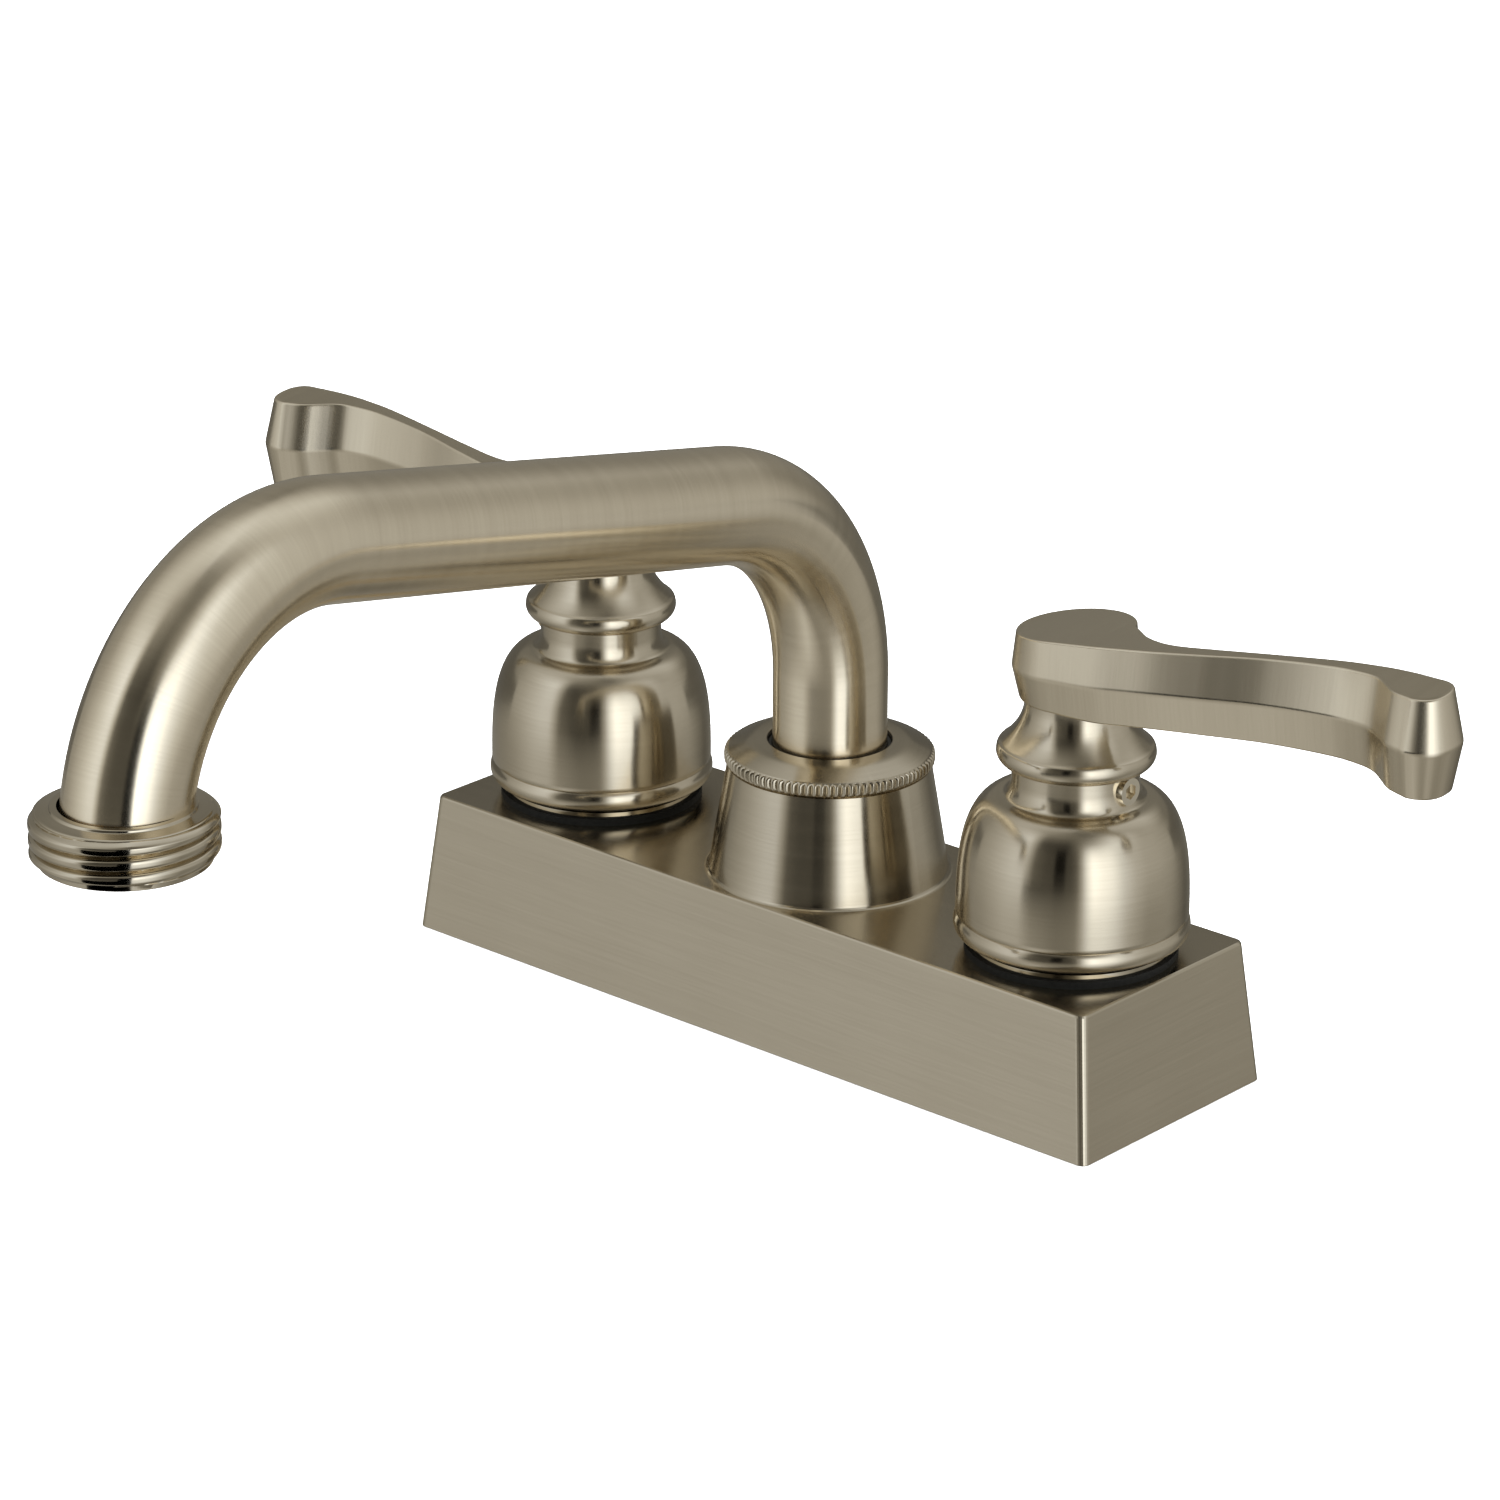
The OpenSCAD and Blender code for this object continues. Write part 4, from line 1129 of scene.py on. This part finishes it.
@dataclass
class HandleAssembly(Assembly):
    """One handle: the turned hub, the scroll lever and what holds them.

    Attributes:
        side: Which handle.
        turn: How far it sits off square, in degrees.
        bell_h: Height of the bell.
        bell_powers: How full the bell is: the powers of its height and of its radius.
        bell_wall: Wall of the bell.
        bead_h: Height of the bead round the bell's lip.
        bead_bulge: How far the bead's round goes in.
        bead_sweep: How far round the bead goes from its foot, in degrees.
        bead_step: Step from the bead to the bell.
        shoulder_drop: How far the bell's shoulder lies below the neck.
        shoulder_cove: Width and height of the hollow between shoulder and neck.
        neck_r: Radius of the neck.
        neck_h: Height of the neck.
        collar_r: Radius of the collar.
        collar_under_h: Height of its hollow underside.
        collar_edge: Width and height of its rounded edge.
        cove_power: How deep the hollow is between the collar and the hub's top.
        hub_top_r: Radius of the hub's top.
        socket_r: Radius of the stem's socket.
        roof_t: Thickness above the bell's hollow.
        lip_flat: Width of the flat under the bead.
        lip_z: Height above the lip from which the hollow follows the bell.
    """

    side: Side = Side.RIGHT
    turn: float = 0.0
    bell_h: float = 25.1 * MM
    bell_powers: tuple[float, float] = (2.8, 2.3)
    bell_wall: float = 1.6 * MM
    bead_h: float = 3.7 * MM
    bead_bulge: float = 1.4 * MM
    bead_sweep: float = 144.0
    bead_step: float = 0.3 * MM
    shoulder_drop: float = 1.9 * MM
    shoulder_cove: tuple[float, float] = (1.5 * MM, 3.1 * MM)
    neck_r: float = 10.1 * MM
    neck_h: float = 3.4 * MM
    collar_r: float = 12.6 * MM
    collar_under_h: float = 2.1 * MM
    collar_edge: tuple[float, float] = (0.6 * MM, 1.4 * MM)
    cove_power: float = 2.2
    hub_top_r: float = 8.3 * MM
    socket_r: float = 8.2 * MM
    roof_t: float = 5.8 * MM
    lip_flat: float = 0.3 * MM
    lip_z: float = 0.5 * MM

    def build(self) -> None:
        """Builds the skins and dresses the solids."""
        word, around = self.side.word, Grain.AROUND_AXIS
        # The hubs take the darkened copy of the plating, which is painted shade
        turned = self.shop.metal(SATIN_SHADED_HUB, Grain.ALONG_RINGS)
        forged = self.shop.metal(SATIN_NICKEL, Grain.ACROSS_RINGS)
        lever = ScrollLever(self.axis(), self.side, self.turn)
        self.seat(self.hub(), turned, "satin_nickel", f"{word}_hub")
        self.seat(lever.build(), forged, "satin_nickel", f"{word}_lever")
        for node in ("lever_stud", "stem_clip"):
            self.dress(f"{word}_{node}", self.shop.metal(BRIGHT_NICKEL, around))
        # The set screws' steel is brightened as a painted highlight
        self.dress(f"{word}_set_screw", self.shop.metal(SCREW_STEEL_HIGHLIGHT, around))
        self.dress(f"{word}_stem", self.shop.metal(BRASS, around))
        self.dress(f"{word}_turning_disc", self.shop.moulded(CERAMIC))
        self.dress(f"{word}_stem_orings", self.shop.moulded(BLACK_RUBBER))

    def axis(self) -> Vector:
        """The handle's axis, at the height of the hub's top."""
        low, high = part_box(f"{self.side.word}_hub")
        return Vector(((low.x + high.x) / 2, (low.y + high.y) / 2, high.z))

    def bell_side(self, foot_r: float, top_r: float, foot_z: float, top_z: float) -> Profile:
        """The bell's side: full at the foot and rounded over into the neck.

        Args:
            foot_r: Radius at the foot.
            top_r: Radius at the top.
            foot_z: Height of the foot.
            top_z: Height of the top.

        Returns:
            Radius and height of its points.
        """
        height_power, radius_power = self.bell_powers
        side: Profile = []
        for a in sweep(0.0, QUARTER, 48):
            t = math.sin(a)
            bulge = (1 - t ** height_power) ** (1 / radius_power)
            side.append((top_r + (foot_r - top_r) * bulge, foot_z + (top_z - foot_z) * t))
        return side

    def outline(self) -> Profile:
        """The hub's outside, from the lip up.

        Returns:
            Radius and height of its points.
        """
        low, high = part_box(f"{self.side.word}_hub")
        bell_r, lip_z, top_z = (high.x - low.x) / 2, low.z, high.z
        neck_z = lip_z + self.bell_h
        shoulder_z, collar_z = neck_z - self.shoulder_drop, neck_z + self.neck_h + self.collar_under_h
        bead_r, bead_top = self.bead_h / 2, lip_z + self.bead_h
        points: Profile = []
        for a in sweep(-QUARTER, math.radians(self.bead_sweep) - QUARTER, 24):
            points.append((bell_r - self.bead_bulge * (1 - math.cos(a)), lip_z + bead_r * (1 + math.sin(a))))
        cove_r, cove_h = self.shoulder_cove
        points += self.bell_side(bell_r - self.bead_step, self.neck_r + cove_r, bead_top, shoulder_z)
        for a in sweep(0.0, QUARTER, 12)[1:]:
            points.append((self.neck_r + cove_r * (1 - math.sin(a)), shoulder_z + cove_h * (1 - math.cos(a))))
        for a in sweep(0.0, QUARTER, 16):
            points.append((self.neck_r + (self.collar_r - self.neck_r) * math.sin(a),
                           collar_z - self.collar_under_h * math.cos(a)))
        edge_in, edge_h = self.collar_edge
        rim_r, cove_z = self.collar_r - edge_in, collar_z + edge_h
        for a in sweep(0.0, QUARTER, 6)[1:-1]:
            points.append((self.collar_r - edge_in * (1 - math.cos(a)), collar_z + edge_h * math.sin(a)))
        for t in sweep(0.0, 1.0, 24):
            points.append((self.hub_top_r + (rim_r - self.hub_top_r) * (1 - t) ** self.cove_power,
                           cove_z + (top_z - cove_z) * t))
        return points

    def hub(self) -> Piece:
        """Turns the hub, hollow under its bell.

        Returns:
            The hub.
        """
        outline, axis = self.outline(), self.axis()
        bell_r, foot_z = max(r for r, _ in outline), outline[0][1]
        hollow_r, hollow_top = bell_r - self.bell_wall - self.bead_step, foot_z + self.bell_h - self.roof_t
        hollow = self.bell_side(hollow_r, self.socket_r, foot_z, hollow_top)
        inside = [(bell_r - self.bead_bulge - self.lip_flat, foot_z)]
        inside += [(r, z) for r, z in hollow if z > foot_z + self.lip_z]
        return lathe(f"{self.side.word}_hub_skin", Vector((axis.x, axis.y, 0)), outline[::-1] + inside)


@dataclass
class ScrollLever:
    """A scroll lever: a round head, an S-shaped blade and a swept tip, with a ridge along its sides.

    Its sizes are in millimetres, along the lever and across it.

    Attributes:
        foot: The handle's axis, at the lever's underside, in metres.
        side: Which handle it belongs to.
        turn: How far it sits off square, in degrees.
        reach: From the axis to the tip.
        head_r: Radius of the head.
        head_t: Thickness of the head.
        head_at: The head's centre.
        tip_rise: How much higher the top is at the tip.
        tip_power: How square the tip is.
        top_power: How early the top rises.
        top_lean: How much the top leans to the front at the tip.
        lean_power: How late that lean sets in.
        ridge_head: How far the ridge stands out at the head.
        ridge_tip: How far it stands out at the tip.
        ridge_under: How far the underside's edge lies inside the ridge.
        ridge_share: Height of the ridge, as a share of the thickness.
        edge_cut: Round of the upper and lower edges.
        ridge_cut: Round of the ridge.
        inset: How far the end faces start inside those edges.
        end_turn: How far round the back of the head and the tip go, in degrees.
        stations: Stations round the head's back, along the blade and round the tip.
        sharp: Angle from which an edge stays sharp, in degrees.
        keys: Share of the reach, back edge, front edge and lift of the underside, up to the tip's start.
    """

    foot: Vector
    side: Side
    turn: float
    reach: float = 66.9
    head_r: float = 9.4
    head_t: float = 10.8
    head_at: tuple[float, float] = (-0.6, -0.1)
    tip_rise: float = 5.9
    tip_power: float = 2.4
    top_power: float = 1.5
    top_lean: float = 0.08
    lean_power: float = 3.0
    ridge_head: float = 0.6
    ridge_tip: float = 1.7
    ridge_under: float = 1.3
    ridge_share: float = 0.48
    edge_cut: float = 0.4
    ridge_cut: float = 0.5
    inset: float = 1.0
    end_turn: float = 88.5
    stations: tuple[int, int, int] = (24, 90, 20)
    sharp: float = 60.0
    keys: list[tuple[float, float, float, float]] = field(default_factory=lambda: [
        (0.00, -5.0, 9.3, 0.0), (0.12, -3.1, 9.0, 0.0), (0.20, 1.3, 8.4, 0.5), (0.28, 3.2, 7.6, 0.9),
        (0.39, 2.5, 6.0, 1.2), (0.54, 0.7, 3.5, 1.4), (0.70, -1.2, 2.1, 1.4), (0.775, -1.6, 2.4, 1.3),
        (0.815, -1.7, 3.1, 1.1), (0.85, -1.6, 4.9, 0.9), (0.885, -1.4, 6.9, 0.7), (0.94, -0.9, 8.0, 0.4)])

    def slope(self, i: int, column: int) -> float:
        """Slope of a key column at one key."""
        a, b = self.keys[max(i - 1, 0)], self.keys[min(i + 1, len(self.keys) - 1)]
        return (b[column] - a[column]) / (b[0] - a[0])

    def curve(self, share: float, column: int) -> float:
        """A smooth curve through the keys.

        Args:
            share: Share of the reach.
            column: Which of the keys' columns: back edge, front edge or lift.

        Returns:
            Its value there.
        """
        i = max(k for k in range(len(self.keys) - 1) if k == 0 or share >= self.keys[k][0])
        p, q = self.keys[i], self.keys[i + 1]
        w = q[0] - p[0]
        t = (share - p[0]) / w
        return (p[column] * (1 + 2 * t) * (1 - t) ** 2 + q[column] * t * t * (3 - 2 * t)
                + w * t * (1 - t) * (self.slope(i, column) * (1 - t) - self.slope(i + 1, column) * t))

    @property
    def tip_start(self) -> float:
        """Where the rounded tip starts."""
        return self.keys[-1][0] * self.reach

    def edges(self, u: float, grow: float) -> tuple[float, float]:
        """Back and front edge of the lever's plan.

        Args:
            u: Place along the lever.
            grow: How far the plan is widened.

        Returns:
            The two edges.
        """
        at, middle = self.head_at
        share = min(u, self.tip_start) / self.reach
        if u < 0:
            back = front = middle
        else:
            half = (self.curve(share, 2) - self.curve(share, 1)) / 2 + grow
            centre = (self.curve(share, 2) + self.curve(share, 1)) / 2
            t = max(u - self.tip_start, 0) / (self.reach - self.tip_start + grow)
            half *= max(1 - min(t, 1.0) ** self.tip_power, 0.0) ** (1 / self.tip_power)
            back, front = centre - half, centre + half
        if u - at < self.head_r + grow:
            chord = math.sqrt(max((self.head_r + grow) ** 2 - (u - at) ** 2, 0.0))
            back, front = min(middle - chord, back), max(middle + chord, front)
        return back, front

    def station(self, share: float, grow: float) -> float:
        """Place along the lever of one station.

        Args:
            share: -1 at the back of the head, 0 at the axis, 1 at the tip's start and 2 at the tip.
            grow: How far the plan is widened.

        Returns:
            The place.
        """
        end_turn = math.radians(self.end_turn)
        if share < 0:
            return self.head_at[0] - (self.head_r + grow) * math.sin(-share * end_turn)
        if share <= 1:
            return self.tip_start * share
        return self.tip_start + (self.reach - self.tip_start + grow) * math.sin((share - 1) * end_turn)

    def reach_share(self, share: float) -> float:
        """Share of the reach at one station."""
        return min(max(self.station(share, 0.0) / self.reach, 0.0), 1.0)

    def heights(self, share: float) -> tuple[float, float, float]:
        """Heights of the underside, the ridge and the top at one station.

        Args:
            share: The station.

        Returns:
            The three heights.
        """
        low = self.curve(min(self.reach_share(share), self.keys[-1][0]), 3)
        fall = 1 - (self.station(share, 0.0) + self.head_r) / (self.reach + self.head_r)
        top = self.head_t + self.tip_rise * (1 - max(fall, 0.0) ** self.top_power)
        return low, low + (top - low) * self.ridge_share, top

    def lean(self, share: float, z: float) -> float:
        """How much a level leans to the front: only the part above the ridge does, and most at the tip.

        Args:
            share: The station.
            z: The level's height.

        Returns:
            The fall for each millimetre to the front.
        """
        _, middle, top = self.heights(share)
        rise = min(max((z - middle) / (top - middle), 0.0), 1.0)
        return self.top_lean * self.reach_share(share) ** self.lean_power * rise

    def section(self, share: float) -> Profile:
        """The side's outline at one station.

        Args:
            share: The station.

        Returns:
            How far it stands out and its height, from the underside over the ridge to the top.
        """
        ridge = self.ridge_head + (self.ridge_tip - self.ridge_head) * self.reach_share(share)
        under = ridge - self.ridge_under
        low, middle, top = self.heights(share)
        corners = [(under - self.inset, low), (under, low), (ridge, middle), (0.0, top), (-self.inset, top)]
        return rounded(corners, [self.edge_cut, self.ridge_cut, self.edge_cut], 5)

    def build(self) -> Piece:
        """Skins the lever.

        Returns:
            The lever.
        """
        head, blade, tip = self.stations
        shares = sweep(-1.0, 0.0, head)[:-1] + sweep(0.0, 1.0, blade) + sweep(1.0, 2.0, tip)[1:]
        sections = [self.section(share) for share in shares]
        place = Matrix.Translation(self.foot) @ Matrix.Rotation(math.radians(self.turn), 4, "Z")
        flip = self.side.value
        rings: list[Ring] = []
        for level in range(len(sections[0])):
            back: Ring = []
            front: Ring = []
            for share, section in zip(shares, sections):
                grow, z = section[level]
                u = self.station(share, grow)
                lean = self.lean(share, z)
                for edge, row in zip(self.edges(u, grow), (back, front)):
                    row.append(place @ Vector((flip * u * MM, -edge * MM, (z - lean * edge) * MM)))
            rings.append(back + front[::-1])
        lever = skin(f"{self.side.word}_lever_skin", rings, Ends.BRIDGED, self.sharp)
        lever.modifiers.new("even_normals", "WEIGHTED_NORMAL")
        return lever


@dataclass
class ValveAssembly(Assembly):
    """What stays still under one handle: the valve body, its cartridge and the ring that clamps the cover.

    Attributes:
        side: Which handle.
    """

    side: Side = Side.RIGHT

    def build(self) -> None:
        """Dresses the valve's solids."""
        word, around = self.side.word, Grain.AROUND_AXIS
        for node in ("valve_body", "cross_tube", "cartridge_shell"):
            self.dress(f"{word}_{node}", self.shop.metal(BRASS, around))
        for node in ("seat_seal", "cover_washer"):
            self.dress(f"{word}_{node}", self.shop.moulded(BLACK_RUBBER))
        self.dress(f"{word}_fixed_disc", self.shop.moulded(CERAMIC))
        self.dress(f"{word}_cover_nut", self.shop.metal(BRIGHT_NICKEL, around))


@dataclass(frozen=True)
class Band:
    """One level of the studio's surround.

    Bearings are in degrees to the right of the camera, seen from the object.

    Attributes:
        start: Height, in degrees, where it starts to take over from the band below.
        full: Height from which it stands alone.
        stops: Bearing and brightness round it.
    """

    start: float
    full: float
    stops: list[tuple[float, float]]


@dataclass
class Studio:
    """Camera, pale floor, soft lamp and the surround that the plating mirrors.

    Attributes:
        focal_px: Focal length in pixels of the frame.
        frame_px: Side of the square frame in pixels.
        sensor_mm: Width of the camera's sensor.
        clip: Nearest and farthest distance that the camera sees, in metres.
        azimuth: Bearing of the camera from straight ahead.
        elevation: Height of the camera above the horizon, in degrees.
        distance: From the camera to the origin along its view.
        offset: How far the origin lies right of and above the view's middle.
        roll: Tilt of the camera, in degrees.
        floor_r: Radius of the floor, which ends before the lamp's light fades.
        floor_drop: How far it lies below the deck's face.
        floor_tone: Its colour.
        lamp: Width, height and power of the lamp, in metres and watts.
        card_from: The spot on the floor, below the spout's end, that the black card is laid out from.
        card_run: How far from that spot the card starts and where its far end stands up.
        card_bearings: Between which bearings it lies, in degrees to the right of the camera.
        card_stand: Bearing from which its far end stands up.
        card_lift: How far it lies above the deck's face.
        card_h: Height of its standing end.
        back_card: Distance behind the base, half width and height of the grey card there.
        back_grey: Brightness of that card.
        card_tint: Tint of the cards' light.
        bands: What surrounds the object, from below it to above it.
        warm: Tint of the dim part of the surround.
        cool: Tint of the bright part.
        tint_span: Between which shares of the brightest part the tint changes.
    """

    focal_px: float = 5689.5
    frame_px: float = 1500.0
    sensor_mm: float = 36.0
    clip: tuple[float, float] = (0.01, 50.0)
    azimuth: float = 41.53
    elevation: float = 21.01
    distance: float = 940.85 * MM
    offset: tuple[float, float] = (12.74 * MM, -41.12 * MM)
    roll: float = 0.302
    floor_r: float = 2000 * MM
    floor_drop: float = 0.1 * MM
    floor_tone: Colour = (0.86, 0.86, 0.86)
    lamp: tuple[float, float, float] = (4.0, 2.5, 230.0)
    card_from: tuple[float, float] = (10.2 * MM, -162.3 * MM)
    card_run: tuple[float, float] = (30 * MM, 300 * MM)
    card_bearings: tuple[float, float] = (-46.0, 12.0)
    card_stand: float = -4.0
    card_lift: float = 0.5 * MM
    card_h: float = 300 * MM
    back_card: tuple[float, float, float] = (150 * MM, 400 * MM, 92 * MM)
    back_grey: float = 0.13
    card_tint: Colour = (1.0, 0.97, 0.88)
    bands: list[Band] = field(default_factory=lambda: [
        Band(-91, -90, [(-180, 0.33), (-120, 0.21), (-80, 0.33), (-45, 0.6), (-10, 0.25), (20, 0.3),
                        (50, 0.15), (100, 0.4), (140, 0.1), (180, 0.33)]),
        Band(-45, -22, [(-180, 0.22), (-140, 0.26), (-105, 0.33), (-75, 0.5), (-54, 0.46), (-44, 0.36),
                        (-20, 0.27), (0, 0.32), (6, 0.6), (14, 1.1), (28, 1.15), (40, 0.9), (54, 0.5),
                        (75, 0.27), (105, 0.3), (140, 0.1), (180, 0.22)]),
        Band(-22, -6, [(-180, 0.22), (-150, 0.22), (-120, 0.33), (-95, 0.52), (-80, 0.67), (-66, 0.82),
                       (-56, 0.84), (-50, 0.5), (-44, 0.14), (-30, 0.08), (-6, 0.07), (1, 0.13), (6, 0.55),
                       (11, 1.4), (17, 2.0), (26, 1.7), (36, 1.5), (48, 0.95), (62, 0.65), (76, 0.53),
                       (92, 0.5), (112, 0.42), (135, 0.2), (180, 0.22)]),
        Band(22, 42, [(-180, 0.15), (-140, 0.42), (-100, 0.62), (-62, 1.05), (-44, 0.05), (-10, 0.03),
                      (20, 0.42), (50, 1.08), (90, 0.42), (140, 0.7), (180, 0.15)]),
        Band(42, 66, [(-180, 0.78), (-110, 0.57), (-40, 0.3), (30, 0.12), (110, 0.6), (180, 0.78)])])
    warm: Colour = (1.03, 0.985, 0.86)
    cool: Colour = (0.98, 1.03, 1.09)
    tint_span: tuple[float, float] = (0.06, 0.45)

    @property
    def toward(self) -> Vector:
        """The level direction from the object to the camera."""
        a = math.radians(self.azimuth)
        return Vector((math.sin(a), -math.cos(a), 0))

    @property
    def level(self) -> Vector:
        """The level direction to the camera's right."""
        a = math.radians(self.azimuth)
        return Vector((math.cos(a), math.sin(a), 0))

    def build(self) -> None:
        """Sets up the whole studio."""
        bpy.context.scene.view_settings.view_transform = "Standard"
        self.place_camera()
        self.lay_floor()
        self.lay_black_card()
        self.stand_grey_card()
        self.hang_lamp()
        self.surround()

    def place_camera(self) -> None:
        """Places the camera."""
        el, roll = math.radians(self.elevation), math.radians(self.roll)
        back = self.toward * math.cos(el) + UP * math.sin(el)
        upright = back.cross(self.level)
        right = self.level * math.cos(roll) + upright * math.sin(roll)
        up = upright * math.cos(roll) - self.level * math.sin(roll)
        data = bpy.data.cameras.new("camera")
        data.sensor_width = self.sensor_mm
        data.lens = self.focal_px / self.frame_px * self.sensor_mm
        data.clip_start, data.clip_end = self.clip
        camera = bpy.data.objects.new("camera", data)
        eye = back * self.distance - right * self.offset[0] - up * self.offset[1]
        camera.matrix_world = Matrix.Translation(eye) @ Matrix((right, up, back)).transposed().to_4x4()
        bpy.context.scene.collection.objects.link(camera)
        bpy.context.scene.camera = camera

    @staticmethod
    def staged(name: str, mesh: bpy.types.Mesh, material: Material) -> Piece:
        """Adds a piece of the studio, which isn't part of the object.

        Args:
            name: Its name.
            mesh: Its mesh.
            material: Its material.

        Returns:
            The piece.
        """
        mesh.materials.append(material)
        piece = bpy.data.objects.new(name, mesh)
        bpy.context.scene.collection.objects.link(piece)
        return piece

    def lay_floor(self) -> None:
        """Lays a plain pale floor that the plating doesn't mirror."""
        shape = bmesh.new()
        bmesh.ops.create_circle(shape, cap_ends=True, segments=96, radius=self.floor_r)
        mesh = bpy.data.meshes.new("floor")
        shape.to_mesh(mesh)
        shape.free()
        floor = self.staged("floor", mesh, matt_material("pale_floor", self.floor_tone)[0])
        floor.location.z = -self.floor_drop
        floor.visible_glossy = False

    def lay_black_card(self) -> None:
        """Lays a black card that only reflections show: it keeps the floor's light off the spout's end."""
        x, y = self.card_from
        near, far = self.card_run
        left, right = self.card_bearings
        stand, low, high = self.card_stand, self.card_lift, self.card_h
        corners = []
        for run, bearing, z in ((near, left, low), (near, right, low), (far, right, low), (far, stand, low),
                                (far, left, low), (far, right, high), (far, stand, high)):
            a = math.radians(self.azimuth + bearing)
            corners.append((x + run * math.sin(a), y - run * math.cos(a), z))
        self.card("black_card", corners, [(0, 1, 2, 3, 4), (3, 2, 5, 6)], 0.0)

    def stand_grey_card(self) -> None:
        """Stands a low grey card behind the base, which only the top of the base mirrors."""
        back, half, height = self.back_card
        corners = [tuple(self.level * x + UP * z - self.toward * back)
                   for x, z in ((-half, 0.0), (half, 0.0), (half, height), (-half, height))]
        self.card("grey_card", corners, [(0, 1, 2, 3)], self.back_grey)

    def card(self, name: str, corners: Sequence[tuple[float, float, float]],
             faces: Sequence[tuple[int, ...]], brightness: float) -> None:
        """Sets up a card that only reflections show.

        Args:
            name: Its name.
            corners: Its corners.
            faces: Its faces, as rows of corners.
            brightness: How bright it looks.
        """
        mesh = bpy.data.meshes.new(name)
        mesh.from_pydata(corners, [], faces)
        material, shader = matt_material(name, (0.0, 0.0, 0.0))
        shader.inputs["Emission Color"].default_value = opaque(self.card_tint)
        shader.inputs["Emission Strength"].default_value = brightness
        card = self.staged(name, mesh, material)
        card.visible_camera = card.visible_diffuse = card.visible_shadow = False

    def hang_lamp(self) -> None:
        """Hangs one wide soft lamp that lights the floor."""
        width, height, power = self.lamp
        data = bpy.data.lights.new("soft_lamp", "AREA")
        data.shape, data.size, data.energy = "DISK", width, power
        lamp = bpy.data.objects.new("soft_lamp", data)
        lamp.location = UP * height
        lamp.visible_glossy = False
        bpy.context.scene.collection.objects.link(lamp)

    @staticmethod
    def around(sheet: NodeSheet, bearing: Socket, stops: Sequence[tuple[float, float]],
               peak: float) -> Socket:
        """Brightness by bearing.

        Args:
            sheet: The world's sheet.
            bearing: The bearing, from 0 to 1.
            stops: Bearing in degrees and brightness.
            peak: The brightness that a colour of 1 stands for.

        Returns:
            The colour.
        """
        ramp = sheet.add("ShaderNodeValToRGB", bearing)
        points = ramp.color_ramp.elements
        while len(points) < len(stops):
            points.new(1.0)
        for point, (degrees, _) in zip(points, stops):
            point.position = degrees / 360 + 0.5
        for point, (_, brightness) in zip(points, stops):
            point.color = opaque((brightness / peak,) * 3)
        return ramp.outputs["Color"]

    def surround(self) -> None:
        """Builds the surround: white to the camera, and a studio's bands to the plating."""
        world = bpy.data.worlds.new("studio")
        bpy.context.scene.world = world
        world.use_nodes = True
        world.node_tree.nodes.clear()
        sheet = NodeSheet(world.node_tree)
        way = sheet.add("ShaderNodeTexCoord").outputs["Generated"]
        toward, right, up = (
            sheet.vector("DOT_PRODUCT", way, axis) for axis in (self.toward, self.level, UP))
        bearing = sheet.math("MULTIPLY_ADD", sheet.math("ARCTAN2", right, toward), 0.5 / math.pi, 0.5)
        height = sheet.math("MULTIPLY", sheet.math("ARCSINE", up), math.degrees(1.0))
        peak = max(brightness for band in self.bands for _, brightness in band.stops)
        whole: object = opaque((0.0, 0.0, 0.0))
        for band in self.bands:
            ring = self.around(sheet, bearing, band.stops, peak)
            whole = sheet.mix(sheet.span(height, band.start, band.full), whole, ring)
        tint = sheet.mix(sheet.span(whole, *self.tint_span), opaque(self.warm), opaque(self.cool))
        studio = sheet.add("ShaderNodeBackground", sheet.vector("MULTIPLY", whole, tint), peak)
        white = sheet.add("ShaderNodeBackground", opaque((1.0, 1.0, 1.0)))
        seen = sheet.add("ShaderNodeLightPath").outputs["Is Camera Ray"]
        choice = sheet.add("ShaderNodeMixShader", seen, studio.outputs[0], white.outputs[0])
        sheet.add("ShaderNodeOutputWorld", choice.outputs[0])


# How far each lever sits off square, in degrees
LEVER_TURNS = {Side.LEFT: 4.5, Side.RIGHT: 5.9}


def main() -> None:
    """Builds the studio and each sub-assembly in order."""
    logging.basicConfig(level=logging.INFO, format="%(message)s")
    Studio().build()
    shop = FinishShop()
    BaseAssembly(shop, "base").build()
    SpoutAssembly(shop, "spout").build()
    for side, turn in LEVER_TURNS.items():
        ValveAssembly(shop, "base", side).build()
        HandleAssembly(shop, f"{side.word}_handle", side, turn).build()


if __name__ == "__main__":
    main()
